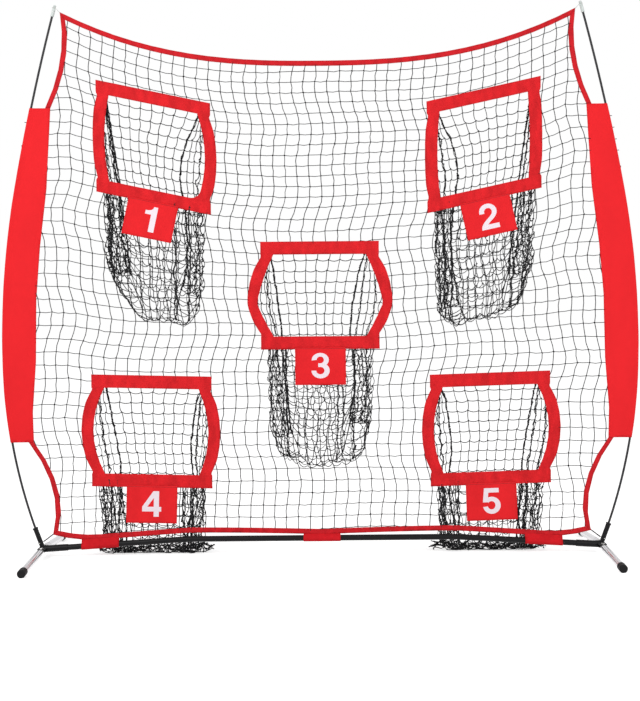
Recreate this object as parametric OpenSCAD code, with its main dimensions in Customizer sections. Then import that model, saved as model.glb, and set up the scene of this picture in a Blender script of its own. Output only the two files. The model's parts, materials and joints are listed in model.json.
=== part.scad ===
// Pitching net: two bowed fibreglass poles in fabric sleeves stretch a knotted net
// with five catch pockets and number flaps over a low folding base.
// Frame: +X is the thrower's right, +Y points away from the thrower, +Z is up,
// and the origin lies on the ground at the middle of the base. Millimetres.

/* [Bow poles] */
// Diameter of the fibreglass pole
pole_d = 8.5; // [7:0.5:10]
// Length of each of a pole's three sections
section_len = 700; // [660:10:740]
// Outward lean of the pole at its foot
pole_lean = 21.8; // [20.5:0.1:23]
// Outward lean of the pole at its lower joint
low_joint_lean = 1.7; // [0.8:0.1:2.4]
// Inward lean of the pole at its upper joint
high_joint_lean = 10; // [9:0.1:10.8]
// Inward lean of the pole at its tip
tip_lean = 14.8; // [14:0.1:16]
// Length of the metal ferrule over each pole joint
ferrule_len = 60; // [40:5:80]
// Wall of the ferrule
ferrule_wall = 0.8; // [0.6:0.1:1.2]

/* [Tip caps and corner ties] */
// Outside diameter of the plastic tip cap
cap_d = 13; // [11.5:0.5:15]
// Length of the cap's skirt over the pole
cap_skirt = 25; // [18:1:35]
// Height of the knob end above the pole
cap_head = 20; // [18:1:26]
// Diameter of the corner cord
corner_cord_d = 2.5; // [2:0.5:3]
// Diameter of the elastic cord at the bottom corners
bungee_d = 5; // [4:0.5:6]
// Diameter of the bungee hook's wire
hook_wire_d = 3; // [2:0.5:3.5]

/* [Base] */
// Distance between the two brackets
base_span = 2144; // [2100:4:2200]
// Height of the brackets' centres above the ground
bracket_z = 34; // [31:1:40]
// Diameter of the pole socket tube
socket_d = 18; // [16:0.5:20]
// Length of the pole socket tube
socket_len = 81; // [70:1:110]
// Wall of the steel tubes
tube_wall = 1.5; // [1.2:0.1:2]
// Diameter of the bar tube
bar_d = 22; // [20:0.5:25]
// Rise of the outer bar sections towards the middle
bar_tilt = 3.4; // [2.4:0.2:4]
// Distance of the bar joints from the middle
bar_joint_x = 510; // [480:5:540]
// Length of the swaged spigot in each bar joint
spigot_len = 60; // [50:5:80]
// Length of the bracket's bar stub
stub_len = 95; // [85:5:120]
// Distance of the stub's snap button from the bracket's centre
stub_button_at = 50; // [45:1:60]
// Diameter of the snap buttons
button_d = 6; // [5:0.5:7]
// Height of a snap button above its tube, which is also how far it is pushed in
button_proud = 3; // [2:0.5:3.5]
// Thickness of the bracket's two plates
plate_t = 3; // [2:0.5:4]

/* [Legs] */
// Distance of each leg's bolt from the net's plane
leg_pivot_y = 32; // [31:1:36]
// Diameter of the leg tube
leg_d = 28; // [25:1:30]
// Distance of the foot's outer face from the net's plane
leg_reach = 340; // [300:5:380]
// Thickness of the flattened end of the leg
tongue_t = 5; // [4:0.5:6]
// Diameter of the leg bolts
bolt_d = 8; // [6:1:10]
// Wall of the rubber foot
foot_wall = 1.5; // [1:0.25:2.5]
// Length of the rubber foot
foot_len = 36; // [28:1:45]
// Depth of the flat that the foot stands on
foot_flat = 0.9; // [0.4:0.1:1.3]

/* [Net and hems] */
// Drop of the net's top corners below the poles' ends
corner_drop = 7; // [4:1:15]
// Drop of the top hem from the corners to its lowest point
top_sag = 195; // [150:5:240]
// Width of the hem tape
hem_w = 20; // [16:1:25]
// Thickness of the hem tape
hem_t = 3; // [2.5:0.5:4]
// Height at which the upper side hem is narrowest
upper_waist_z = 2005; // [1980:5:2030]
// Radius of the upper side hem's curve
upper_waist_r = 572; // [540:4:620]
// Height at which the lower side hem is narrowest
lower_waist_z = 175; // [160:5:190]
// Radius of the lower side hem's curve
lower_waist_r = 355; // [340:5:390]
// Height of the bottom hem above the bar at the middle
hem_gap_mid = 3; // [2:1:6]
// Height of the bottom hem above the bar at the outer wraps
hem_gap_wrap = 10; // [8:1:14]
// Height of the net's bottom corners above the bar
hem_gap_corner = 41; // [36:1:46]
// Upward arch of the bottom hem between the wraps
hem_arch = 6; // [2:1:10]
// Distance between the net's strands
strand_pitch = 120; // [118:2:150]
// Width of a strand
strand_w = 3; // [2:0.5:4]
// Thickness of the net
strand_t = 2; // [1.5:0.5:2.5]

/* [Pole sleeves] */
// Height of the sleeve's lower end
sleeve_low_z = 444; // [420:2:470]
// Height of the sleeve's upper end
sleeve_high_z = 1728; // [1700:4:1750]
// Width of the sleeve at its lower end
sleeve_low_w = 83; // [75:1:95]
// Width of the sleeve at its middle
sleeve_mid_w = 122; // [110:1:130]
// Width of the sleeve at its upper end
sleeve_high_w = 74; // [66:1:84]
// Thickness of the sleeve's flat panel
sleeve_t = 3; // [2:0.5:4]
// Wall of the sleeve round the pole
sleeve_wall = 1; // [0.8:0.1:2]

/* [Pockets] */
// Distance of the upper pockets from the middle
upper_pocket_x = 636; // [620:2:650]
// Height of the upper pockets
upper_pocket_z = 1574; // [1550:2:1590]
// Width of the upper pocket frames
upper_pocket_w = 440; // [420:5:460]
// Height of the upper pocket frames
upper_pocket_h = 430; // [400:5:450]
// Outward rise of the upper pockets, per unit of width
upper_pocket_slope = 0.215; // [0.15:0.005:0.25]
// Height of the centre pocket
centre_pocket_z = 1000; // [980:2:1020]
// Width of the centre pocket frame
centre_pocket_w = 457; // [430:5:480]
// Height of the centre pocket frame
centre_pocket_h = 415; // [400:5:440]
// Distance of the lower pockets from the middle
lower_pocket_x = 651; // [635:2:660]
// Height of the lower pockets
lower_pocket_z = 482; // [476:2:500]
// Width of the lower pocket frames
lower_pocket_w = 463; // [440:5:475]
// Height of the lower pocket frames
lower_pocket_h = 430; // [410:5:440]
// Outward rise of the lower pockets, per unit of width
lower_pocket_slope = 0.027; // [0:0.001:0.06]
// Width of the frame tape
band_w = 50; // [40:1:60]
// Thickness of the frame tape
band_t = 4; // [3:0.5:5]
// Depth of the pocket nets behind the frames
bag_depth = 200; // [170:5:220]
// Drop of the upper and centre nets below their frames
bag_drop = 448; // [400:4:460]
// Wall of the pocket nets
bag_wall = 2.4; // [2:0.2:3]

/* [Number flaps] */
// Width of a number flap
flap_w = 195; // [160:5:220]
// Height of a number flap
flap_h = 144; // [120:2:160]
// Thickness of a number flap
flap_t = 2.4; // [1.6:0.2:3]
// Overlap of a flap on its frame tape
flap_lap = 7; // [4:1:12]

/* [Bar wraps] */
// Distance of the outer wraps from the brackets' centres
wrap_from_bracket = 220; // [205:1:240]
// Length of a bar wrap
wrap_len = 142; // [110:2:150]
// Thickness of the wrap fabric
wrap_t = 2; // [1.5:0.25:3]

/* [Hidden] */
$fn = 48;

black = [0.07, 0.07, 0.08];
red = [0.86, 0.11, 0.12];
chrome = [0.78, 0.79, 0.8];
steel = [0.6, 0.6, 0.62];
milky = [0.88, 0.9, 0.88];

slide_gap = 0.3;        // between pieces that move past each other, and cloth and its neighbour
fit_gap = 0.08;         // radial running fit of pins in bores
tube_gap = 0.2;         // radial slack between telescoping tubes
pole_seat = 8;          // height of the socket's floor along the pole
far = 400;              // reach of cutting blocks
eps = 0.01;
bend_fn = 720;          // steps in a full turn of the long pole bends

// ---- the pole's path: each of its three sections bows evenly, and they run on smoothly ----
// A station is [x, z, lean]; s is the distance along the pole from the bracket's centre.
pole_end = pole_seat + 3 * section_len;
run_start = [0, pole_seat + section_len, pole_seat + 2 * section_len, pole_end];
run_lean = [pole_lean, low_joint_lean, -high_joint_lean, -tip_lean];
function run_r(i) = (run_start[i + 1] - run_start[i]) / (run_lean[i] - run_lean[i + 1]) * 180 / PI;
function bend_centre(p, r) = [p[0] - r * cos(p[2]), p[1] + r * sin(p[2])];
function around(p, r, d) =
    let (c = bend_centre(p, r), a = p[2] - d / r * 180 / PI)
    [c[0] + r * cos(a), c[1] - r * sin(a), a];
station_0 = [base_span / 2, bracket_z, pole_lean];
station_1 = around(station_0, run_r(0), run_start[1]);
station_2 = around(station_1, run_r(1), section_len);
stations = [station_0, station_1, station_2];
function pole_at(s) = let (i = s <= run_start[1] ? 0 : s <= run_start[2] ? 1 : 2)
    around(stations[i], run_r(i), s - run_start[i]);
// The x of the pole at height z: within a bend the height is a sine of the lean.
function pole_x(z) = let (i = z <= station_1[1] ? 0 : z <= station_2[1] ? 1 : 2,
    c = bend_centre(stations[i], run_r(i)))
    c[0] + run_r(i) * cos(asin((c[1] - z) / run_r(i)));
net_top_z = pole_at(pole_end)[1] - corner_drop;
wrap_x = base_span / 2 - wrap_from_bracket;

// ---- the bar's line ----
bar_mid_z = bracket_z + (base_span / 2 - bar_joint_x) * tan(bar_tilt);
function bar_z(x) = abs(x) < bar_joint_x ? bar_mid_z
    : bracket_z + (base_span / 2 - abs(x)) * tan(bar_tilt);

// ---- the net's edges, right-hand half ----
sleeve_steps = [0, 0.09, 0.24, 0.43, 0.58, 0.76, 1];
sleeve_widths = [sleeve_low_w, (2 * sleeve_low_w + sleeve_mid_w) / 3, sleeve_mid_w, sleeve_mid_w,
    sleeve_mid_w, sleeve_mid_w - 5, sleeve_high_w];
last_step = len(sleeve_steps) - 1;
function sleeve_step_z(i) = sleeve_low_z + (sleeve_high_z - sleeve_low_z) * sleeve_steps[i];
function sleeve_edge(i) = [pole_x(sleeve_step_z(i)) - sleeve_widths[i], sleeve_step_z(i)];

upper_waist_x = pole_x(sleeve_high_z) - sleeve_high_w + hem_w
    - pow(upper_waist_z - sleeve_high_z, 2) / (2 * upper_waist_r);
lower_waist_x = pole_x(sleeve_low_z) - sleeve_low_w + hem_w
    - pow(sleeve_low_z - lower_waist_z, 2) / (2 * lower_waist_r);
function upper_side_x(z) = upper_waist_x + pow(z - upper_waist_z, 2) / (2 * upper_waist_r);
function lower_side_x(z) = lower_waist_x + pow(z - lower_waist_z, 2) / (2 * lower_waist_r);
top_half = upper_side_x(net_top_z);
function top_z(x) = net_top_z - top_sag * (1 - pow(abs(x) / top_half, 2.6));

corner_z = bar_z(base_span / 2) + bar_d / 2 + hem_gap_corner;
bottom_half = lower_side_x(corner_z);
function wrap_gap(x) = hem_gap_mid + (hem_gap_wrap - hem_gap_mid) * x / wrap_x
    + hem_arch * sin(180 * x / wrap_x);
function corner_gap(x) = hem_gap_wrap + (hem_gap_corner - hem_gap_wrap)
    * pow((x - wrap_x) / (bottom_half - wrap_x), 2);
function bottom_z(x) = bar_z(x) + bar_d / 2
    + (abs(x) < wrap_x ? wrap_gap(abs(x)) : corner_gap(min(abs(x), bottom_half)));

top_steps = 14;
bottom_steps = 18;
side_steps = 5;
// The right-hand edges of the net, inset by d: each runs clockwise, and the corners mitre.
function top_edge(d) = [for (i = [0:top_steps]) let (x = (top_half - d) * i / top_steps)
    [x, top_z(x) - d]];
function upper_edge(d) = concat([top_edge(d)[top_steps]], [for (i = [1:side_steps])
    let (z = net_top_z - d + (sleeve_high_z - net_top_z + d) * i / side_steps) [upper_side_x(z) - d, z]]);
function bottom_edge(d) = [for (i = [bottom_steps:-1:0]) let (x = (bottom_half - d) * i / bottom_steps)
    [x, bottom_z(x) + d]];
function lower_edge(d) = concat([for (i = [0:side_steps - 1])
    let (z = sleeve_low_z + (corner_z + d - sleeve_low_z) * i / side_steps) [lower_side_x(z) - d, z]],
    [bottom_edge(d)[0]]);
function half_outline(d) = concat(top_edge(d), upper_edge(d), [for (i = [last_step:-1:0]) sleeve_edge(i)],
    lower_edge(d), bottom_edge(d));
function reversed(points) = [for (i = [len(points) - 1:-1:0]) points[i]];
function mirrored(points) = [for (p = reversed(points)) if (p[0] > 0) [-p[0], p[1]]];
function net_outline(d) = concat(half_outline(d), mirrored(half_outline(d)));

// ---- pockets ----
// A pocket is [side, x, z, width, height, slope, outer bow, inner bow, drop, stand-off].
// Inside it, u runs outwards from its middle and v upwards; the slope lifts v with u.
upper_bows = [13, 23];
centre_bow = 53;
lower_bows = [39, 32];
bag_floor_z = 3;        // the lower nets end just above the ground
bar_clear = bar_d / 2 + slide_gap + wrap_t + button_proud + 4;
lower_drop = lower_pocket_z - lower_pocket_h / 2 - bag_floor_z;
function upper_pocket(side) = [side, upper_pocket_x, upper_pocket_z, upper_pocket_w, upper_pocket_h,
    upper_pocket_slope, upper_bows[0], upper_bows[1], bag_drop, 12];
function lower_pocket(side) = [side, lower_pocket_x, lower_pocket_z, lower_pocket_w, lower_pocket_h,
    lower_pocket_slope, lower_bows[0], lower_bows[1], lower_drop, bar_clear];
centre_pocket = [1, 0, centre_pocket_z, centre_pocket_w, centre_pocket_h, 0,
    centre_bow, centre_bow, bag_drop, 12];
pockets = [upper_pocket(-1), upper_pocket(1), centre_pocket, lower_pocket(-1), lower_pocket(1)];

arc_steps = 8;
inner_bow = 12;         // the tape narrows by this much at the middle of its sides
function bow_at(bow, d, t) = (bow + inner_bow * d / band_w) * (1 - t * t);
function pocket_outline(p, d) = let (w = p[3] / 2 - d, h = p[4] / 2 - d) [
    for (i = [0:arc_steps]) let (t = 1 - 2 * i / arc_steps, u = w + bow_at(p[6], d, t)) [u, h * t + p[5] * u],
    for (i = [0:arc_steps]) let (t = 2 * i / arc_steps - 1, u = -w - bow_at(p[7], d, t)) [u, h * t + p[5] * u]
];

// ---- helpers ----
module extrude_y(y0, y1) {
    translate([0, y1, 0]) rotate([90, 0, 0]) linear_extrude(y1 - y0) children();
}

module sided(side) {
    if (side < 0) mirror([1, 0, 0]) children();
    else children();
}

// For what is the same at the front and the back: turned round to the other side.
module turned(side) {
    rotate([0, 0, side < 0 ? 180 : 0]) children();
}

module in_pocket(p) {
    sided(p[0]) translate([p[1], 0, p[2]]) children();
}

// A taut cord of radius r from a to b, with a round knot or ball at each end.
module knotted_cord(a, b, r, knot_a, knot_b) {
    d = b - a;
    rotation = [0, atan2(norm([d[0], d[1]]), d[2]), atan2(d[1], d[0])];
    translate(a) rotate(rotation) rotate_extrude() intersection() {
        union() {
            square([r, norm(d)]);
            circle(d = knot_a);
            translate([0, norm(d)]) circle(d = knot_b);
        }
        translate([0, -knot_a]) square([knot_a + knot_b, norm(d) + knot_a + knot_b]);
    }
}

module tube_z(h, ro, ri) {
    difference() {
        cylinder(h = h, r = ro);
        translate([0, 0, -1]) cylinder(h = h + 2, r = ri);
    }
}

module at_pole(s) {
    p = pole_at(s);
    translate([p[0], 0, p[1]]) rotate([0, p[2], 0]) children();
}

// A closed solid through level rings of as many points each, bottom first, each ring
// running anticlockwise as seen from above.
module loft(rings) {
    n = len(rings[0]);
    last = len(rings) - 1;
    walls = [for (i = [0:last - 1]) for (j = [0:n - 1])
        let (a = i * n + j, b = i * n + (j + 1) % n)
        each [[a, a + n, b + n], [a, b + n, b]]];
    bottom = [for (j = [0:n - 1]) j];
    top = [for (j = [n - 1:-1:0]) last * n + j];
    polyhedron([for (ring = rings) each ring], concat([bottom], [top], walls));
}

// The same with a bore: the outer and inner rings pair up point by point.
module tube_loft(outer, inner) {
    n = len(outer[0]);
    last = len(outer) - 1;
    m = n * (last + 1);
    quads = concat(
        [for (i = [0:last - 1]) for (j = [0:n - 1]) let (k = (j + 1) % n)
            each [[i * n + j, (i + 1) * n + j, (i + 1) * n + k, i * n + k],
                [m + i * n + k, m + (i + 1) * n + k, m + (i + 1) * n + j, m + i * n + j]]],
        [for (j = [0:n - 1]) let (k = (j + 1) % n)
            each [[j, k, m + k, m + j], [last * n + k, last * n + j, m + last * n + j, m + last * n + k]]]);
    polyhedron([for (ring = concat(outer, inner)) each ring],
        [for (q = quads) each [[q[0], q[1], q[2]], [q[0], q[2], q[3]]]]);
}

// The straight socket lies along the pole's foot, with its middle on the pole's line.
module at_socket(s) {
    at_pole(socket_len / 2) translate([0, 0, s - socket_len / 2]) children();
}

// Right-hand frame of the outer bar section: its -X axis runs inwards along the bar.
module at_bar() {
    translate([base_span / 2, 0, bracket_z]) rotate([0, bar_tilt, 0]) children();
}

module along_bar(from, to, r) {
    translate([-to, 0, 0]) rotate([0, 90, 0]) cylinder(h = to - from, r = r);
}

// ---- base ----
plate_r = bolt_d / 2 + 12;
stub_bore = bar_d / 2 + tube_gap;
stub_blind = 12;
bar_in_stub = 25;
bolt_hole_r = bolt_d / 2 + fit_gap;
tongue_gap = tongue_t / 2 + slide_gap;

module bracket_plate(z) {
    translate([0, 0, z]) linear_extrude(plate_t) {
        square([2 * plate_r, 2 * leg_pivot_y], center = true);
        for (side = [-1, 1]) translate([0, side * leg_pivot_y]) circle(plate_r);
    }
}

module base_bracket() {
    color(black) difference() {
        union() {
            translate([base_span / 2, 0, bracket_z]) {
                bracket_plate(tongue_gap);
                bracket_plate(-tongue_gap - plate_t);
            }
            at_socket(0) cylinder(h = socket_len, r = socket_d / 2);
            at_bar() along_bar(0, stub_len, stub_bore + tube_wall);
        }
        at_socket(pole_seat - 1) cylinder(h = socket_len, r = socket_d / 2 - tube_wall);
        at_bar() along_bar(stub_blind, stub_len + 1, stub_bore);
        at_bar() translate([-stub_button_at, 0, 0]) cylinder(h = bar_d, r = button_d / 2 + fit_gap);
        for (side = [-1, 1])
            translate([base_span / 2, side * leg_pivot_y, bracket_z - 20]) cylinder(h = 40, r = bolt_hole_r);
    }
}

liner_rim = 6;
liner_skirt = 55;
module socket_liner() {
    bore = pole_d / 2 + bow_slack(socket_len + 2 * liner_rim);
    color(black) at_socket(socket_len) {
        translate([0, 0, -liner_skirt]) tube_z(liner_skirt, socket_d / 2 - tube_wall - fit_gap, bore);
        tube_z(liner_rim, socket_d / 2 + 1.2, bore);
    }
}

module leg_bolt() {
    grip = tongue_gap + plate_t;
    color(steel) {
        translate([0, 0, -grip - bolt_d]) cylinder(h = 2 * grip + bolt_d, r = bolt_d / 2);
        translate([0, 0, grip]) cylinder(h = bolt_d * 0.6, r = bolt_d * 0.85, $fn = 6);
    }
    color(steel) translate([0, 0, -grip - bolt_d * 0.8]) difference() {
        cylinder(h = bolt_d * 0.8, r = bolt_d * 0.85, $fn = 6);
        translate([0, 0, -1]) cylinder(h = bolt_d + 2, r = bolt_d / 2 + eps);
    }
}

// A leg in its own frame: the bolt's axis is Z, and the leg runs out along +Y.
leg_run = leg_reach - leg_pivot_y;
foot_r = leg_d / 2 + fit_gap + foot_wall;
foot_z = foot_r - foot_flat;
leg_slope = atan((bracket_z - foot_z) / leg_run);
neck_start = plate_r + 2;
neck_end = plate_r + 24;
neck_step = 0.3;        // the flattened neck meets the tube just inside its edge
module down_leg(y) {
    rotate([-90 - leg_slope, 0, 0]) translate([0, 0, y]) children();
}

module leg() {
    tongue_w = 2 * plate_r - 6;
    tube_len = leg_run - foot_wall * 2 - neck_end;
    color(chrome) difference() {
        union() {
            translate([0, 0, -tongue_t / 2]) linear_extrude(tongue_t) {
                circle(tongue_w / 2);
                translate([-tongue_w / 2, 0]) square([tongue_w, neck_start]);
            }
            hull() {
                translate([-tongue_w / 2, neck_start - 1, -tongue_t / 2]) cube([tongue_w, 1, tongue_t]);
                down_leg(neck_end + 1) cylinder(h = 1, r = leg_d / 2 - neck_step);
            }
            down_leg(neck_end) cylinder(h = tube_len, r = leg_d / 2);
        }
        translate([0, 0, -leg_d]) cylinder(h = 2 * leg_d, r = bolt_hole_r);
        down_leg(neck_end + 6) cylinder(h = tube_len, r = leg_d / 2 - tube_wall);
    }
}

module foot() {
    color(black) down_leg(leg_run - foot_len) difference() {
        rotate_extrude() polygon([[0, 0], [foot_r, 0], [foot_r, foot_len - 3], [foot_r - 3, foot_len], [0, foot_len]]);
        translate([0, 0, -1]) cylinder(h = foot_len - foot_wall * 2 + 1, r = leg_d / 2 + fit_gap);
    }
}

module placed_leg(side, end) {
    sided(side) translate([base_span / 2, end * leg_pivot_y, bracket_z])
        mirror([0, end < 0 ? 1 : 0, 0]) children();
}

module placed_foot(side, end) {
    difference() {
        placed_leg(side, end) foot();
        translate([-base_span, -far * 2, -far]) cube([base_span * 2, far * 4, far]);
    }
}

spigot_r = bar_d / 2 - tube_wall - fit_gap;
spigot_bore = spigot_r - tube_wall;
joint_button_x = bar_joint_x - spigot_len / 2;

module along_x(x0, x1, r) {
    translate([x0, 0, bar_mid_z]) rotate([0, 90, 0]) cylinder(h = x1 - x0, r = r);
}

module joint_button_hole() {
    translate([joint_button_x, 0, bar_mid_z]) rotate([-90, 0, 0]) cylinder(h = bar_d, r = button_d / 2 + fit_gap);
}

module outer_bar_tube() {
    bar_run = (base_span / 2 - bar_joint_x) / cos(bar_tilt);
    color(black) difference() {
        union() {
            difference() {
                at_bar() along_bar(bar_in_stub, bar_run + bar_d, bar_d / 2);
                translate([bar_joint_x - far, -far / 2, 0]) cube([far, far, far]);
            }
            along_x(bar_joint_x - spigot_len, bar_joint_x + 2, spigot_r);
        }
        difference() {
            at_bar() along_bar(bar_in_stub - 1, bar_run + bar_d, bar_d / 2 - tube_wall);
            translate([bar_joint_x + 3 - far, -far / 2, 0]) cube([far, far, far]);
        }
        along_x(bar_joint_x - spigot_len - 1, bar_joint_x + 12, spigot_bore);
        joint_button_hole();
        at_bar() translate([-stub_button_at, 0, 0]) cylinder(h = bar_d, r = button_d / 2 + fit_gap);
    }
}

module centre_bar_tube() {
    color(black) difference() {
        along_x(-bar_joint_x, bar_joint_x, bar_d / 2);
        along_x(-bar_joint_x - 1, bar_joint_x + 1, bar_d / 2 - tube_wall);
        for (side = [-1, 1]) sided(side) joint_button_hole();
    }
}

// A snap button on its spring leaf: the button points along +Z, out of a tube whose
// outside radius is out_r, and the leaf lies inside a bore of in_r.
module snap_button(in_r, out_r) {
    leaf_w = button_d + 1;
    leaf_top = sqrt(in_r * in_r - leaf_w * leaf_w / 4) - slide_gap;
    stem = out_r + button_proud - leaf_top;
    color(chrome) translate([0, 0, leaf_top]) {
        cylinder(h = stem - 1, r = button_d / 2);
        translate([0, 0, stem - 1]) cylinder(h = 1, r1 = button_d / 2, r2 = button_d / 2 - 1);
        translate([-leaf_w / 2, -leaf_w / 2, -1]) cube([28, leaf_w, 1]);
    }
}

module stub_button() {
    at_bar() translate([-stub_button_at, 0, 0]) mirror([1, 0, 0])
        snap_button(bar_d / 2 - tube_wall, stub_bore + tube_wall);
}

module joint_button() {
    translate([joint_button_x, 0, bar_mid_z]) rotate([-90, 0, 0]) mirror([1, 0, 0])
        snap_button(spigot_bore, bar_d / 2);
}

// ---- poles ----
// What is straight has a little slack round the bowed pole, by its length.
function bow_slack(length) = pow(length / 2, 2) / (2 * run_r(0)) + fit_gap;

module pole_section(i) {
    s = pole_seat + i * section_len;
    c = bend_centre(stations[i], run_r(i));
    color(black) translate([c[0], 0, c[1]]) rotate([90, 0, 0]) rotate([0, 0, -pole_at(s)[2]])
        rotate_extrude(angle = section_len / run_r(i) * 180 / PI, $fn = bend_fn)
            translate([run_r(i), 0]) circle(pole_d / 2, $fn = 48);
}

ferrule_bore = pole_d / 2 + bow_slack(ferrule_len);
ferrule_r = ferrule_bore + ferrule_wall;
module ferrules() {
    color(steel) for (i = [1:2])
        at_pole(pole_seat + i * section_len) translate([0, 0, -ferrule_len / 2])
            tube_z(ferrule_len, ferrule_r, ferrule_bore);
}

neck_at = cap_head / 2;
neck_r = 3.8;
module tip_cap() {
    r = cap_d / 2;
    bore = pole_d / 2 + fit_gap;
    color(milky) at_pole(pole_end) rotate_extrude() polygon([
        [0, 0], [bore, 0], [bore, -cap_skirt], [r - 0.5, -cap_skirt], [r, -cap_skirt + 1], [r, neck_at - 7],
        [neck_r, neck_at - corner_cord_d / 2 - slide_gap], [neck_r, neck_at + corner_cord_d / 2 + slide_gap],
        [r - 0.5, cap_head - 6], [r - 0.5, cap_head - 2], [r - 2.5, cap_head], [0, cap_head]]);
}

// The corner cord is looped round the cap's neck, tied there, and knotted behind the net's corner.
corner_knot_d = 7;
tie_knot_d = 4.4;
cord_loop_r = neck_r + corner_cord_d / 2 + 0.1;
tie_out = cord_loop_r + 1.5;
tie_station = pole_at(pole_end + neck_at);
tie_point = [tie_station[0] - tie_out * cos(tie_station[2]), 0, tie_station[1] + tie_out * sin(tie_station[2])];
corner_knot = [top_half - 9, hem_t / 2 + corner_knot_d / 2, net_top_z - 12];
module corner_cord() {
    color(milky) {
        at_pole(pole_end + neck_at) rotate_extrude() translate([cord_loop_r, 0]) circle(corner_cord_d / 2);
        knotted_cord(tie_point, corner_knot, corner_cord_d / 2, tie_knot_d, corner_knot_d);
    }
}

// The hook's wire goes round the back and outside of the pole socket.
hook_at = 26;
hook_shank = 9;
hook_r = socket_d / 2 + slide_gap + hook_wire_d / 2;
ball_d = bungee_d + 2;
socket_mid = pole_at(socket_len / 2);
hook_up = hook_at - socket_len / 2;
ball_out = hook_shank + 0.2 + ball_d / 2;
ball_point = [socket_mid[0] + hook_up * sin(socket_mid[2]) - ball_out * cos(socket_mid[2]), hook_r,
    socket_mid[1] + hook_up * cos(socket_mid[2]) + ball_out * sin(socket_mid[2])];
bungee_knot_d = 9;
bungee_knot = [bottom_half - 8, hem_t / 2 + bungee_knot_d / 2, corner_z + 9];
module bungee() {
    color(black) knotted_cord(bungee_knot, ball_point, bungee_d / 2, bungee_knot_d, ball_d);
}

module bungee_hook() {
    color(steel) at_socket(hook_at) {
        rotate([0, 0, -90]) rotate_extrude(angle = 180) translate([hook_r, 0]) circle(hook_wire_d / 2);
        translate([-hook_shank, hook_r, 0]) rotate([0, 90, 0]) cylinder(h = hook_shank, r = hook_wire_d / 2);
    }
}

// ---- fabric edges ----
// A sleeve is lofted through level rings: a tube round the pole that thins to a flat panel.
channel_r = (ferrule_r + slide_gap) / cos(15);
rings_per_step = 5;
sleeve_levels = [for (i = [0:last_step - 1]) for (k = [0:rings_per_step - 1]) i + k / rings_per_step, last_step];
function level_edge(level) = let (i = min(floor(level), last_step - 1))
    sleeve_edge(i) + (sleeve_edge(i + 1) - sleeve_edge(i)) * (level - i);
function sleeve_ring(level) =
    let (e = level_edge(level), x = pole_x(e[1]), r = channel_r + sleeve_wall, h = sleeve_t / 2)
    [for (q = concat([[e[0], -h], [x - 2.4 * r, -h - 0.25 * r]],
        [for (a = [-120:30:120]) [x + r * cos(a), r * sin(a)]],
        [[x - 2.4 * r, h + 0.25 * r], [e[0], h]])) [q[0], q[1], e[1]]];
function channel_ring(level) = let (e = level_edge(level), x = pole_x(e[1]))
    [for (a = [-170, -145, each [-120:30:120], 145, 170]) [x + channel_r * cos(a), channel_r * sin(a), e[1]]];

module pole_sleeve() {
    color(red) tube_loft([for (level = sleeve_levels) sleeve_ring(level)],
        [for (level = sleeve_levels) channel_ring(level)]);
}

// Hem tape along one edge of the net.
module hem_tape(outer, inner) {
    color(red) extrude_y(-hem_t / 2, hem_t / 2) polygon(concat(outer, reversed(inner)));
}

module whole_hem(outer, inner) {
    hem_tape(concat(mirrored(outer), outer), concat(mirrored(inner), inner));
}

module right_hems() {
    hem_tape(upper_edge(0), upper_edge(hem_w));
    hem_tape(lower_edge(0), lower_edge(hem_w));
}

strand_columns = floor(base_span / strand_pitch / 2);
strand_rows = floor(net_top_z / strand_pitch);
module main_net() {
    color(black) extrude_y(-strand_t / 2, strand_t / 2) difference() {
        intersection() {
            polygon(net_outline(hem_w));
            union() {
                for (i = [-strand_columns:strand_columns])
                    translate([i * strand_pitch - strand_w / 2, 0]) square([strand_w, net_top_z]);
                for (i = [1:strand_rows])
                    translate([-base_span / 2, i * strand_pitch]) square([base_span, strand_w]);
            }
        }
        for (p = pockets) translate([p[0] * p[1], p[2]]) mirror([p[0] < 0 ? 1 : 0, 0])
            polygon(pocket_outline(p, 0));
    }
}

// ---- pockets ----
module pocket_frame(p) {
    color(red) in_pocket(p) extrude_y(-band_t / 2, band_t / 2) difference() {
        polygon(pocket_outline(p, 0));
        polygon(pocket_outline(p, band_w));
    }
}

// Level rings of a pocket net, top to bottom: [v, front u0, u1, back u0, u1, front y, back y, slope].
// Behind the opening the back panel slopes away; below it hangs a sack.
bag_seam = 0.55;        // share of the tape that the net is sewn behind
bag_lip = 6;            // the back panel ends this far below the opening
function front_edge(p, v, bow) = p[3] / 2 - band_w * bag_seam
    + bow_at(bow, band_w * bag_seam, min(1, abs(v) / (p[4] / 2 - band_w * bag_seam)));
function mouth_ring(p, t) =
    let (h = p[4] / 2, v = h - band_w * bag_seam + (band_w * (1 + bag_seam) - 2 * h - bag_lip) * t, k = 16 + 76 * t)
    [v, -front_edge(p, v, p[7]), front_edge(p, v, p[6]), k - front_edge(p, v, p[7]),
        front_edge(p, v, p[6]) - k, band_t / 2, band_t / 2 + 26 + (bag_depth - 28 - band_t / 2) * t, p[5]];
function sack_ring(p, t, front_k, back_k, y0, y1) = let (w = p[3] / 2 - band_w * bag_seam)
    [-p[4] / 2 - p[8] * t, -w + front_k, w - front_k, -w + back_k, w - back_k, y0, y1, p[5] * (1 - t)];
function bag_rings(p) = concat(
    [for (i = [0:4]) mouth_ring(p, i / 4)],
    [sack_ring(p, 0, 0, 62, band_t / 2, bag_depth), sack_ring(p, 0.35, 4, 40, p[9], bag_depth - 8),
        sack_ring(p, 0.7, 14, 34, p[9], bag_depth - 26), sack_ring(p, 0.92, 30, 44, p[9] + 14, bag_depth - 46),
        sack_ring(p, 1, 66, 78, p[9] + 46, bag_depth - 76)]);
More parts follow.
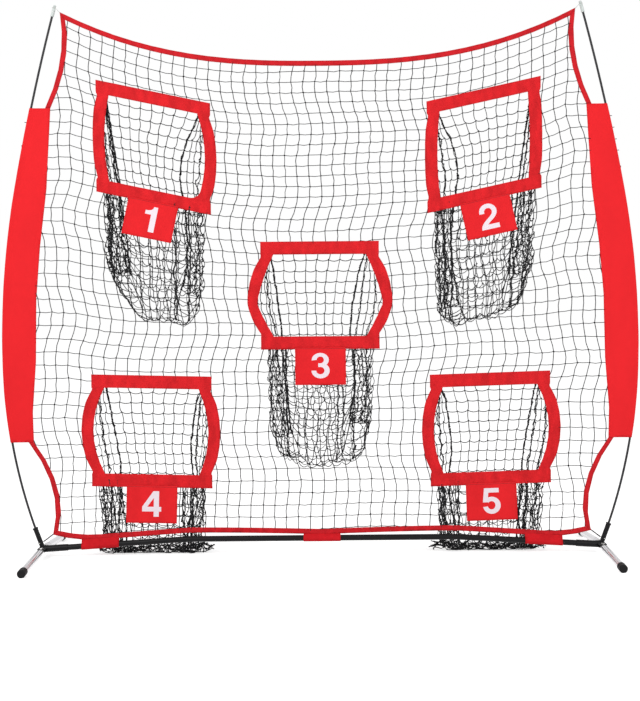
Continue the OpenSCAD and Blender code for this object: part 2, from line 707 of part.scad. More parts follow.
function ring_points(r, d) =
    let (u0 = r[1] + d, u1 = r[2] - d, b0 = r[3] + d, b1 = r[4] - d, y0 = r[5] + d, y1 = r[6] - d,
        c = min(34, (y1 - y0) / 4), m = (y0 + y1) / 2)
    [for (q = [[u0, y0], [u1, y0], [(u1 + b1) / 2 + 5, m], [b1, y1 - c], [b1 - c, y1], [b0 + c, y1],
        [b0, y1 - c], [(u0 + b0) / 2 - 5, m]]) [q[0], q[1], r[0] + r[7] * q[0]]];
module bag_solid(p, d) {
    rings = bag_rings(p);
    last = len(rings) - 1;
    loft([for (i = [last:-1:0]) [for (q = ring_points(rings[i], d))
        [q[0], q[1], q[2] + (i == 0 ? -d : i == last ? d : 0)]]]);
}

module pocket_net(p) {
    color(black) in_pocket(p) difference() {
        bag_solid(p, 0);
        bag_solid(p, bag_wall);
        extrude_y(0, band_t / 2 + bag_wall + 1) polygon(pocket_outline(p, band_w));
    }
}

flap_y = -band_t / 2 - slide_gap - flap_t / 2;
module number_flap(p) {
    color(red) in_pocket(p) translate([0, flap_y, flap_lap - p[4] / 2]) rotate([0, -atan(p[5]), 0]) {
        translate([-flap_w / 2, -flap_t / 2, -flap_h]) cube([flap_w, flap_t, flap_h]);
        translate([-flap_w / 2, 0, 0]) rotate([0, 90, 0]) cylinder(h = flap_w, r = flap_t / 2);
    }
}

// ---- bar wraps ----
wrap_bore = bar_d / 2 + slide_gap;
// The web of a wrap stands on the bar and ends at the bottom hem's lower edge.
module wrap_web(x0, x1) {
    extrude_y(-hem_t / 2, hem_t / 2) difference() {
        polygon([[x0, bar_z(x0)], [x1, bar_z(x1)], [x1, bottom_z(x1) + hem_w / 2], [x0, bottom_z(x0) + hem_w / 2]]);
        polygon(net_outline(0));
    }
}

module centre_bar_wrap() {
    x1 = wrap_len / 2;
    color(red) difference() {
        union() {
            along_x(-x1, x1, wrap_bore + wrap_t);
            wrap_web(-x1, x1);
        }
        along_x(-x1 - 1, x1 + 1, wrap_bore);
    }
}

module right_bar_wrap() {
    x0 = wrap_x - wrap_len / 2;
    x1 = wrap_x + wrap_len / 2;
    from = (base_span / 2 - x1) / cos(bar_tilt);
    to = (base_span / 2 - x0) / cos(bar_tilt);
    color(red) difference() {
        union() {
            at_bar() along_bar(from, to, wrap_bore + wrap_t);
            wrap_web(x0 + 2, x1 - 2);
        }
        at_bar() along_bar(from - 1, to + 1, wrap_bore);
    }
}

turned(-1) base_bracket();  // left_base_bracket
base_bracket();  // right_base_bracket
for (side = [-1, 1]) turned(side) socket_liner();  // socket_liners
for (side = [-1, 1]) for (end = [-1, 1])  // leg_pivot_bolts
        translate([side * base_span / 2, end * leg_pivot_y, bracket_z]) leg_bolt();
placed_leg(-1, -1) leg();  // front_left_leg
placed_leg(1, -1) leg();  // front_right_leg
placed_leg(-1, 1) leg();  // rear_left_leg
placed_leg(1, 1) leg();  // rear_right_leg
placed_foot(-1, -1);  // front_left_foot
placed_foot(1, -1);  // front_right_foot
placed_foot(-1, 1);  // rear_left_foot
placed_foot(1, 1);  // rear_right_foot
sided(-1) outer_bar_tube();  // left_bar_tube
centre_bar_tube();
outer_bar_tube();  // right_bar_tube
turned(-1) stub_button();  // left_stub_button
stub_button();  // right_stub_button
sided(-1) joint_button();  // left_joint_button
joint_button();  // right_joint_button
turned(-1) pole_section(0);  // left_lower_pole
turned(-1) pole_section(1);  // left_middle_pole
turned(-1) pole_section(2);  // left_upper_pole
pole_section(0);  // right_lower_pole
pole_section(1);  // right_middle_pole
pole_section(2);  // right_upper_pole
for (side = [-1, 1]) turned(side) ferrules();  // pole_ferrules
turned(-1) tip_cap();  // left_tip_cap
tip_cap();  // right_tip_cap
sided(-1) corner_cord();  // left_corner_cord
corner_cord();  // right_corner_cord
sided(-1) bungee();  // left_bungee
bungee();  // right_bungee
sided(-1) bungee_hook();  // left_bungee_hook
bungee_hook();  // right_bungee_hook
turned(-1) pole_sleeve();  // left_pole_sleeve
pole_sleeve();  // right_pole_sleeve
main_net();
whole_hem(top_edge(0), top_edge(hem_w));  // top_hem
whole_hem(reversed(bottom_edge(0)), reversed(bottom_edge(hem_w)));  // bottom_hem
turned(-1) right_hems();  // left_hems
right_hems();
pocket_frame(pockets[0]);  // pocket_1_frame
pocket_frame(pockets[1]);  // pocket_2_frame
pocket_frame(pockets[2]);  // pocket_3_frame
pocket_frame(pockets[3]);  // pocket_4_frame
pocket_frame(pockets[4]);  // pocket_5_frame
pocket_net(pockets[0]);  // pocket_1_net
pocket_net(pockets[1]);  // pocket_2_net
pocket_net(pockets[2]);  // pocket_3_net
pocket_net(pockets[3]);  // pocket_4_net
pocket_net(pockets[4]);  // pocket_5_net
number_flap(pockets[0]);  // number_flap_1
number_flap(pockets[1]);  // number_flap_2
number_flap(pockets[2]);  // number_flap_3
number_flap(pockets[3]);  // number_flap_4
number_flap(pockets[4]);  // number_flap_5
turned(-1) right_bar_wrap();  // left_bar_wrap
centre_bar_wrap();
right_bar_wrap();
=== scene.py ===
import json
import math
import random

import bmesh
import bpy
from mathutils import Matrix, Vector, noise
from mathutils.bvhtree import BVHTree


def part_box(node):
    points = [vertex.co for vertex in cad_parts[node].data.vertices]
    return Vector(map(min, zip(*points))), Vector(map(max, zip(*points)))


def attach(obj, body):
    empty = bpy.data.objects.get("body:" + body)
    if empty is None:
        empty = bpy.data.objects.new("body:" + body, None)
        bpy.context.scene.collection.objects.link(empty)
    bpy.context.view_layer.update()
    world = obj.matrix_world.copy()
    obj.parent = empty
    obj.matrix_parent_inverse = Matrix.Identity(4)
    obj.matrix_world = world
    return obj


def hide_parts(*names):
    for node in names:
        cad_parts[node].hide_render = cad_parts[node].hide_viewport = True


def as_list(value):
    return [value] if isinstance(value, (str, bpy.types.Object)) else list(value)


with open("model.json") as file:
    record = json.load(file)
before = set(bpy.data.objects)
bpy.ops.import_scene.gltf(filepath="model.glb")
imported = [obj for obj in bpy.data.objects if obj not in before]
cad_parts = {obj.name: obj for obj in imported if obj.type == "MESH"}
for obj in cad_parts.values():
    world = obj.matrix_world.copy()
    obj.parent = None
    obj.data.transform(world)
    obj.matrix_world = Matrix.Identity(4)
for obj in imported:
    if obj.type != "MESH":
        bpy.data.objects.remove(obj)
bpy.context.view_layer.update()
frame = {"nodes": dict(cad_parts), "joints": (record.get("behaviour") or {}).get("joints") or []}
cadNodes = frame["nodes"]
netBody = "base_and_net"
dice = random.Random(21)
noise.seed_set(21)  # noise_vector would take its shifts from the clock
toFront = Vector((0, -1, 0))


# camera, lamps and floor

shot = {
    "distance": 4.5,
    "height": 0.974,
    "lens": 60.1,
    "shiftY": -0.0692,
    "roll": 0.5,
    "lamps": {"keyLamp": {"place": (-2.6, -3.6, 3.4), "power": 128, "size": 2.2},
              "fillLamp": {"place": (3.2, -3.0, 2.2), "power": 68, "size": 2.6}},
    "aim": (0, 0, 1),
    "worldLevel": 0.46,
    "floorSize": 60,
    "floorGrey": (0.86, 0.86, 0.86, 1),
    "floorGlow": 0.64,
}


def makeCamera():
    data = bpy.data.cameras.new("camera")
    data.lens = shot["lens"]
    data.sensor_width = 36
    data.shift_y = shot["shiftY"]
    data.clip_end = 200
    camera = bpy.data.objects.new("camera", data)
    bpy.context.scene.collection.objects.link(camera)
    camera.location = (0, -shot["distance"], shot["height"])
    camera.rotation_euler = (math.radians(90), math.radians(shot["roll"]), 0)
    bpy.context.scene.camera = camera


def makeLamp(name, place, power, size):
    data = bpy.data.lights.new(name, "AREA")
    data.energy = power
    data.size = size
    lamp = bpy.data.objects.new(name, data)
    bpy.context.scene.collection.objects.link(lamp)
    lamp.location = place
    lamp.rotation_euler = (Vector(shot["aim"]) - Vector(place)).to_track_quat("-Z", "Y").to_euler()


def seenDirectly(nodes, links):
    # 1 for camera, mirror and glass rays, and 0 for the light on the object
    path = nodes.new("ShaderNodeLightPath")
    total = path.outputs["Is Camera Ray"]
    for name in ("Is Glossy Ray", "Is Transmission Ray"):
        adder = nodes.new("ShaderNodeMath")
        adder.operation = "MAXIMUM"
        links.new(total, adder.inputs[0])
        links.new(path.outputs[name], adder.inputs[1])
        total = adder.outputs[0]
    return total


def makeWorld():
    world = bpy.data.worlds.new("studio")
    bpy.context.scene.world = world
    world.use_nodes = True
    nodes, links = world.node_tree.nodes, world.node_tree.links
    nodes["Background"].inputs["Color"].default_value = (1, 1, 1, 1)
    level = nodes.new("ShaderNodeMapRange")
    links.new(seenDirectly(nodes, links), level.inputs["Value"])
    level.inputs["To Min"].default_value = shot["worldLevel"]
    level.inputs["To Max"].default_value = 1
    links.new(level.outputs["Result"], nodes["Background"].inputs["Strength"])


def makeFloor():
    bm = bmesh.new()
    bmesh.ops.create_grid(bm, x_segments=1, y_segments=1, size=shot["floorSize"] / 2)
    mesh = bpy.data.meshes.new("floor")
    bm.to_mesh(mesh)
    bm.free()
    floor = bpy.data.objects.new("floor", mesh)
    bpy.context.scene.collection.objects.link(floor)
    material = bpy.data.materials.new("floor_white")
    material.use_nodes = True
    nodes, links = material.node_tree.nodes, material.node_tree.links
    shader = nodes["Principled BSDF"]
    shader.inputs["Base Color"].default_value = shot["floorGrey"]
    shader.inputs["Roughness"].default_value = 0.9
    shader.inputs["Specular IOR Level"].default_value = 0
    lift = nodes.new("ShaderNodeMath")
    lift.operation = "MULTIPLY"
    links.new(seenDirectly(nodes, links), lift.inputs[0])
    lift.inputs[1].default_value = shot["floorGlow"]
    shader.inputs["Emission Color"].default_value = (1, 1, 1, 1)
    links.new(lift.outputs[0], shader.inputs["Emission Strength"])
    mesh.materials.append(material)


makeCamera()
makeWorld()
makeFloor()
for name, lamp in shot["lamps"].items():
    makeLamp(name, **lamp)
bpy.context.scene.view_settings.view_transform = "Standard"
print("camera, lamps and floor ready")


# shader node groups

def startGroup(name, inputs, outputs):
    group = bpy.data.node_groups.new(name, "ShaderNodeTree")
    for socketName, value in inputs.items():
        kind = "NodeSocketColor" if isinstance(value, tuple) else "NodeSocketFloat"
        group.interface.new_socket(socketName, in_out="INPUT", socket_type=kind).default_value = value
    for socketName in outputs:
        kind = "NodeSocketColor" if socketName == "Colour" else "NodeSocketFloat"
        group.interface.new_socket(socketName, in_out="OUTPUT", socket_type=kind)
    return group, group.nodes.new("NodeGroupInput").outputs, group.nodes.new("NodeGroupOutput").inputs


def put(tree, kind, settings=None, sockets=None):
    node = tree.nodes.new(kind)
    for name, value in (settings or {}).items():
        setattr(node, name, value)
    for name, value in (sockets or {}).items():
        if isinstance(value, bpy.types.NodeSocket):
            tree.links.new(value, node.inputs[name])
        else:
            node.inputs[name].default_value = value
    return node


def calc(tree, operation, first, second=0.0, third=0.0):
    return put(tree, "ShaderNodeMath", {"operation": operation}, {0: first, 1: second, 2: third}).outputs[0]


def tint(tree, mode, share, base, other):
    # sockets 6 and 7 are the mix node's two colours, and output 2 is their mix
    settings = {"data_type": "RGBA", "blend_type": mode}
    return put(tree, "ShaderNodeMix", settings, {0: share, 6: base, 7: other}).outputs[2]


def blend(tree, share, base, other):
    return put(tree, "ShaderNodeMix", {"data_type": "FLOAT"}, {0: share, 2: base, 3: other}).outputs[0]


def grey(tree, level):
    return put(tree, "ShaderNodeCombineColor", None, {0: level, 1: level, 2: level}).outputs[0]


def objectPlace(tree):
    return put(tree, "ShaderNodeTexCoord").outputs["Object"]


def stretched(tree, scale, turn=(0, 0, 0)):
    sockets = {"Vector": objectPlace(tree), "Rotation": turn, "Scale": scale}
    return put(tree, "ShaderNodeMapping", None, sockets).outputs["Vector"]


def noiseAt(tree, place, scale, detail=2.0, roughness=0.5):
    sockets = {"Vector": place, "Scale": scale, "Detail": detail, "Roughness": roughness}
    return put(tree, "ShaderNodeTexNoise", None, sockets).outputs["Fac"]


def spread(tree, value, start, end, low=0.0, high=1.0):
    # start to end becomes low to high
    sockets = {"Value": value, "From Min": start, "From Max": end, "To Min": low, "To Max": high}
    return put(tree, "ShaderNodeMapRange", None, sockets).outputs["Result"]


def makeWeave():
    # plain weave: warp along Z and weft along X, over and under by turns
    group, given, result = startGroup("plainWeave", {"Thread": 0.001}, ["Height", "Shade"])
    axes = put(group, "ShaderNodeSeparateXYZ", None, {0: objectPlace(group)}).outputs
    turns = calc(group, "DIVIDE", math.pi, given["Thread"])
    across = calc(group, "SINE", calc(group, "MULTIPLY", axes["X"], turns))
    along = calc(group, "SINE", calc(group, "MULTIPLY", axes["Z"], turns))
    product = calc(group, "MULTIPLY", across, along)
    group.links.new(calc(group, "MULTIPLY_ADD", product, 0.5, 0.5), result["Height"])
    group.links.new(calc(group, "MULTIPLY_ADD", product, 0.04, 0.96), result["Shade"])
    return group


def makeMottle():
    # slow light and dark patches in a colour
    inputs = {"Colour": (1.0, 1.0, 1.0, 1.0), "Scale": 8.0, "Amount": 0.1}
    group, given, result = startGroup("mottle", inputs, ["Colour"])
    patches = noiseAt(group, objectPlace(group), given["Scale"], 4.0, 0.6)
    dark = tint(group, "MULTIPLY", given["Amount"], given["Colour"], (0.35, 0.3, 0.3, 1))
    group.links.new(tint(group, "MIX", patches, given["Colour"], dark), result["Colour"])
    return group


def makeCrease():
    # soft ridges of gathered cloth that run aslant, with a share of finer ones
    group, given, result = startGroup("crease", {"Scale": 20.0, "Fine": 0.4}, ["Height"])
    ridges = noiseAt(group, stretched(group, (1, 1, 0.45), (0, 0.6, 0)), given["Scale"], 2.0, 0.4)
    fine = noiseAt(group, objectPlace(group), calc(group, "MULTIPLY", given["Scale"], 3.1))
    group.links.new(blend(group, given["Fine"], ridges, fine), result["Height"])
    return group


def makeScuff():
    # a thin veil of dust and rubbed spots, as a mask
    group, given, result = startGroup("scuff", {"Scale": 40.0, "Cover": 0.4}, ["Mask"])
    spots = noiseAt(group, objectPlace(group), given["Scale"], 6.0, 0.7)
    group.links.new(calc(group, "MULTIPLY", spread(group, spots, 0.52, 0.75), given["Cover"]), result["Mask"])
    return group


weaveGroup = makeWeave()
mottleGroup = makeMottle()
creaseGroup = makeCrease()
scuffGroup = makeScuff()


def use(tree, group, **values):
    node = tree.nodes.new("ShaderNodeGroup")
    node.node_tree = group
    for name, value in values.items():
        node.inputs[name].default_value = value
    return node.outputs


def mottled(tree, look, scale):
    return use(tree, mottleGroup, Colour=look["colour"], Scale=scale, Amount=look["mottle"])["Colour"]


def startMaterial(name, plain):
    material = bpy.data.materials.new(name)
    material.use_nodes = True
    tree = material.node_tree
    shader = tree.nodes["Principled BSDF"]
    for socket, value in plain.items():
        shader.inputs[socket].default_value = value
    return material, tree, shader


def bump(tree, height, strength, depth, below=None):
    node = put(tree, "ShaderNodeBump", None, {"Height": height, "Strength": strength, "Distance": depth})
    if below is not None:
        tree.links.new(below, node.inputs["Normal"])
    return node.outputs["Normal"]


def fabric(name, look):
    material, tree, shader = startMaterial(name, {
        "Roughness": look["roughness"], "Sheen Weight": look["sheen"], "Sheen Roughness": 0.4,
        "Specular IOR Level": look["gloss"]})
    weave = use(tree, weaveGroup, Thread=look["thread"])
    colour = mottled(tree, look, look["patch"])
    crease = use(tree, creaseGroup, Scale=look["crease"], Fine=0.3)["Height"]
    # painted shade: the colour is darker where the crease height is low, in the dips between ridges
    paintedCreaseShade = spread(tree, crease, 0.36, 0.62, 1 - look["creaseShade"])
    woven = tint(tree, "MULTIPLY", 1.0, colour, grey(tree, weave["Shade"]))
    tree.links.new(tint(tree, "MULTIPLY", 1.0, woven, grey(tree, paintedCreaseShade)), shader.inputs["Base Color"])
    folds = bump(tree, crease, look["creaseLevel"], 0.01)
    tree.links.new(bump(tree, weave["Height"], 0.35, 0.0006, folds), shader.inputs["Normal"])
    return material


def coated(name, look):
    # paint, plastic or plated metal, with an uneven skin and a little dust
    material, tree, shader = startMaterial(name, look["plain"])
    dust = use(tree, scuffGroup, Scale=look["dustScale"], Cover=look["dust"])["Mask"]
    colour = mottled(tree, look, look["patch"])
    tree.links.new(tint(tree, "MIX", dust, colour, (0.4, 0.39, 0.38, 1)), shader.inputs["Base Color"])
    tree.links.new(blend(tree, dust, look["roughness"], 0.75), shader.inputs["Roughness"])
    grain = noiseAt(tree, stretched(tree, look["grainStretch"]), look["grain"], 3.0)
    tree.links.new(bump(tree, grain, look["grainLevel"], 0.0005), shader.inputs["Normal"])
    return material


def corded(name, look):
    # twisted yarn: slanting plies round a thin cord
    material, tree, shader = startMaterial(name, {
        "Roughness": look["roughness"], "Sheen Weight": look["sheen"], "Specular IOR Level": 0.3})
    ply = put(tree, "ShaderNodeTexWave", {"bands_direction": "DIAGONAL"},
              {"Vector": objectPlace(tree), "Scale": look["plies"], "Distortion": 1.5, "Detail": 1.0})
    colour = mottled(tree, look, 60.0)
    shaded = tint(tree, "MULTIPLY", ply.outputs["Fac"], colour, (0.7, 0.7, 0.7, 1))
    tree.links.new(shaded, shader.inputs["Base Color"])
    tree.links.new(bump(tree, ply.outputs["Fac"], 0.5, 0.0004), shader.inputs["Normal"])
    return material


redCloth = {"colour": (0.86, 0.02, 0.026, 1), "roughness": 0.7, "sheen": 0.02, "gloss": 0.08,
            "thread": 0.0009, "patch": 6.0, "mottle": 0.10, "crease": 9.0, "creaseLevel": 0.4,
            "creaseShade": 0.06}
sleeveFabric = fabric("sleeve_fabric", redCloth)
frameFabric = fabric("frame_fabric", {**redCloth, "colour": (0.82, 0.020, 0.026, 1), "crease": 34.0,
                                      "creaseLevel": 1.0, "creaseShade": 0.24, "patch": 40.0, "mottle": 0.2})
flapFabric = fabric("flap_fabric", {**redCloth, "colour": (0.85, 0.02, 0.026, 1), "crease": 14.0,
                                    "creaseShade": 0.1})
wrapFabric = fabric("wrap_fabric", {**redCloth, "colour": (0.76, 0.014, 0.022, 1), "crease": 18.0,
                                    "mottle": 0.25, "creaseLevel": 0.8, "creaseShade": 0.2})
hemTape = fabric("hem_tape", {**redCloth, "colour": (0.71, 0.018, 0.026, 1), "thread": 0.0014,
                              "crease": 40.0, "creaseLevel": 0.8, "creaseShade": 0.22, "mottle": 0.2})
redThread = corded("red_thread", {"colour": (0.50, 0.012, 0.02, 1), "roughness": 0.7, "sheen": 0.1,
                                  "plies": 600.0, "mottle": 0.2})
netYarn = corded("net_yarn", {"colour": (0.012, 0.012, 0.014, 1), "roughness": 0.8, "sheen": 0.0,
                              "plies": 260.0, "mottle": 0.3})
whiteCord = corded("white_cord", {"colour": (0.82, 0.83, 0.80, 1), "roughness": 0.6, "sheen": 0.1,
                                  "plies": 420.0, "mottle": 0.15})
elasticCord = corded("elastic_cord", {"colour": (0.014, 0.014, 0.016, 1), "roughness": 0.6, "sheen": 0.2,
                                      "plies": 300.0, "mottle": 0.3})
paint = {"plain": {"Metallic": 0.0, "Specular IOR Level": 0.14}, "colour": (0.006, 0.006, 0.007, 1),
         "roughness": 0.42, "dust": 0.015, "dustScale": 60.0, "patch": 30.0, "mottle": 0.2, "grain": 900.0,
         "grainStretch": (1, 1, 1), "grainLevel": 0.25}
powderBlack = coated("powder_black", paint)
chromePlate = coated("chrome_plate", {
    **paint, "plain": {"Metallic": 1.0}, "colour": (0.66, 0.65, 0.67, 1), "roughness": 0.16, "dust": 0.10,
    "dustScale": 45.0, "patch": 20.0, "mottle": 0.12, "grain": 500.0, "grainStretch": (1, 0.05, 1),
    "grainLevel": 0.12})
zincPlate = coated("zinc_plate", {
    **paint, "plain": {"Metallic": 1.0}, "colour": (0.60, 0.60, 0.58, 1), "roughness": 0.34, "dust": 0.15,
    "dustScale": 80.0, "patch": 90.0, "mottle": 0.35, "grain": 700.0, "grainLevel": 0.2})
footRubber = coated("foot_rubber", {
    **paint, "colour": (0.009, 0.009, 0.010, 1), "roughness": 0.55, "dust": 0.02, "dustScale": 70.0,
    "patch": 40.0, "grain": 1400.0, "grainLevel": 0.4})
fibreglass = coated("fibreglass_black", {
    **paint, "plain": {"Specular IOR Level": 0.3}, "colour": (0.014, 0.014, 0.016, 1), "roughness": 0.5,
    "dust": 0.06, "dustScale": 50.0, "mottle": 0.3, "grainStretch": (1, 1, 0.03), "grainLevel": 0.3})
milkyPlastic = coated("milky_plastic", {
    **paint, "colour": (0.58, 0.63, 0.61, 1), "roughness": 0.34, "dust": 0.05, "dustScale": 90.0,
    "patch": 60.0, "grain": 600.0, "grainLevel": 0.1,
    "plain": {"Subsurface Weight": 0.35, "Subsurface Radius": (0.01, 0.01, 0.01), "Subsurface Scale": 0.5}})
numeralPrint = coated("numeral_print", {
    **paint, "colour": (0.84, 0.74, 0.80, 1), "roughness": 0.5, "dust": 0.05, "mottle": 0.05, "grain": 500.0,
    "grainLevel": 0.3})
print("materials ready")


# the finish of each solid that shows, by the ending of its node's name
finishes = {
    "_leg": chromePlate, "_foot": footRubber, "liners": footRubber, "_pole": fibreglass, "_cap": milkyPlastic,
    "_bracket": powderBlack, "_tube": powderBlack, "_button": zincPlate, "_bolts": zincPlate,
    "_ferrules": zincPlate, "_hook": zincPlate,
}
for node in cadNodes:
    for ending, material in finishes.items():
        if node.endswith(ending):
            cadNodes[node].data.materials.clear()
            cadNodes[node].data.materials.append(material)


# helpers for the pieces

tiny = 1e-6
facing = 0.9  # how much of a normal lies along an axis that its face looks along
knotShape = {"sizes": (0.8, 1.2), "turn": 3, "stretch": (1.25, 0.9, 0.8, 1)}
stitch = {"pitch": 0.005, "length": 0.0032, "width": 0.0006, "proud": 0.0001}


def shares(count):
    return [i / count for i in range(count + 1)]


def addPiece(name, bm, material, body, replaced=(), smooth=True):
    mesh = bpy.data.meshes.new(name)
    bm.to_mesh(mesh)
    bm.free()
    piece = bpy.data.objects.new(name, mesh)
    bpy.context.scene.collection.objects.link(piece)
    mesh.materials.append(material)
    mesh.polygons.foreach_set("use_smooth", [smooth] * len(mesh.polygons))
    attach(piece, body)
    if replaced:
        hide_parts(*replaced)
    return piece


def thicken(piece, thickness, offset=0.0):
    solid = piece.modifiers.new("thickness", "SOLIDIFY")
    solid.thickness = thickness
    solid.offset = offset
    solid.use_even_offset = False


def copyOf(node):
    bm = bmesh.new()
    bm.from_mesh(cadNodes[node].data)
    bmesh.ops.remove_doubles(bm, verts=bm.verts, dist=tiny)
    return bm


def frontOf(node):
    # the flat front of a cloth node, moved to the net's plane
    bm = copyOf(node)
    bmesh.ops.delete(bm, geom=[f for f in bm.faces if f.normal.y > -facing], context="FACES")
    for vert in bm.verts:
        vert.co.y = 0
    bmesh.ops.dissolve_limit(bm, angle_limit=0.001, verts=bm.verts, edges=bm.edges)
    return bm


def cut(bm, axis, step):
    # cuts a mesh into even strips across an axis
    places = [v.co[axis] for v in bm.verts]
    low, high = min(places), max(places)
    normal = Vector([float(i == axis) for i in range(3)])
    count = max(1, round((high - low) / step))
    for i in range(1, count):
        level = normal * (low + (high - low) * i / count)
        geometry = bm.verts[:] + bm.edges[:] + bm.faces[:]
        bmesh.ops.bisect_plane(bm, geom=geometry, dist=tiny, plane_co=level, plane_no=normal)


def areaOf(faces):
    return sum(f.calc_area() for f in faces)


def ripple(place, size, seed):
    return noise.noise(Vector((place.x / size + seed, seed, place.z / size)))


def meshOf(data):
    holder = bpy.data.objects.new("line", data)
    bpy.context.scene.collection.objects.link(holder)
    mesh = bpy.data.meshes.new_from_object(holder.evaluated_get(bpy.context.evaluated_depsgraph_get()))
    bm = bmesh.new()
    bm.from_mesh(mesh)
    bpy.data.objects.remove(holder)
    bpy.data.curves.remove(data)
    bpy.data.meshes.remove(mesh)
    return bm


def strands(lines, radius):
    # yarns of a net as one mesh, each a four-sided tube along its own points
    data = bpy.data.curves.new("yarns", "CURVE")
    data.dimensions = "3D"
    data.bevel_depth = radius
    data.bevel_resolution = 0
    data.use_fill_caps = True
    for line in lines:
        spline = data.splines.new("POLY")
        spline.points.add(len(line) - 1)
        for point, place in zip(spline.points, line):
            point.co = (*place, 1)
    return meshOf(data)


def addKnots(bm, places, radius):
    for place in places:
        size = radius * dice.uniform(*knotShape["sizes"])
        turn = Matrix.Rotation(dice.uniform(0, knotShape["turn"]), 4, "Y")
        matrix = Matrix.Translation(place) @ turn @ Matrix.Diagonal(knotShape["stretch"])
        bmesh.ops.create_icosphere(bm, subdivisions=1, radius=size, matrix=matrix)


def addStitches(bm, edges, axis, level):
    # short thread ends along straight edges of cloth that looks along Y or Z; level(place) is its surface
    for start, end in edges:
        run = end - start
        count = int(run.length / stitch["pitch"])
        angle = math.atan2(-run.z, run.x) if axis == "Y" else math.atan2(run.y, run.x)
        size = Matrix.Diagonal((stitch["length"], stitch["width"], stitch["width"], 1))
        shape = Matrix.Rotation(angle, 4, axis) @ size
        for i in range(count):
            place = start + run * ((i + 0.5) / count)
            place["XYZ".index(axis)] = level(place)
            bmesh.ops.create_cube(bm, size=1, matrix=Matrix.Translation(place) @ shape)


def seamEdges(bm, inset):
    # the lines that run this far inside a flat piece's outline
    rim = bmesh.ops.inset_region(bm, faces=bm.faces, thickness=inset, use_boundary=True)["faces"]
    inner = set(bm.faces) - set(rim)
    return [(e.verts[0].co.copy(), e.verts[1].co.copy()) for e in bm.edges
            if len(e.link_faces) == 2 and len(set(e.link_faces) & inner) == 1]


def inPieces(lines, step):
    # the same lines, each in short stretches
    made = []
    for start, end in lines:
        count = max(1, round((end - start).length / step))
        made += [(start.lerp(end, i / count), start.lerp(end, (i + 1) / count)) for i in range(count)]
    return made


# pockets

# x and z are a frame's middle, w and h its size, and slope is how far its level lines rise outwards. The bows
# are how far the outer and the inner upright tape bow, and band is how much wider these grow at mid height.
# The sack hangs drop below the frame and gap behind it. A seam is height and distance from the middle, going
# up the back panel's edge.
upperBag = {
    "x": 0.636, "z": 1.574, "w": 0.440, "h": 0.430, "slope": 0.215, "bows": (0.013, 0.023), "band": 0.007,
    "drop": 0.448, "gap": 0.012,
    "outerSeam": ((-0.36, 0.152), (-0.165, 0.162), (0.165, 0.188), (0.2, 0.202)),
    "innerSeam": ((-0.36, 0.120), (-0.091, 0.082), (-0.004, 0.095), (0.06, 0.118), (0.135, 0.158),
                  (0.2, 0.184)),
}
centreBag = {
    "x": 0.0, "z": 1.000, "w": 0.457, "h": 0.415, "slope": 0.0, "bows": (0.053, 0.053), "band": 0.0,
    "drop": 0.448, "gap": 0.012,
    "outerSeam": ((-0.36, 0.150), (-0.134, 0.118), (-0.016, 0.131), (0.117, 0.157), (0.145, 0.171),
                  (0.2, 0.193)),
    "innerSeam": ((-0.36, 0.155), (-0.141, 0.153), (0.157, 0.188), (0.2, 0.205)),
}
lowerBag = {
    "x": 0.651, "z": 0.482, "w": 0.463, "h": 0.430, "slope": 0.027, "bows": (0.039, 0.032), "band": 0.008,
    "drop": 0.264, "gap": 0.0203,
    "outerSeam": ((-0.3, 0.160), (-0.148, 0.153), (0.023, 0.166), (0.171, 0.183), (0.2, 0.195)),
    "innerSeam": ((-0.3, 0.150), (-0.146, 0.132), (-0.050, 0.136), (0.117, 0.166), (0.146, 0.180),
                  (0.2, 0.202)),
}

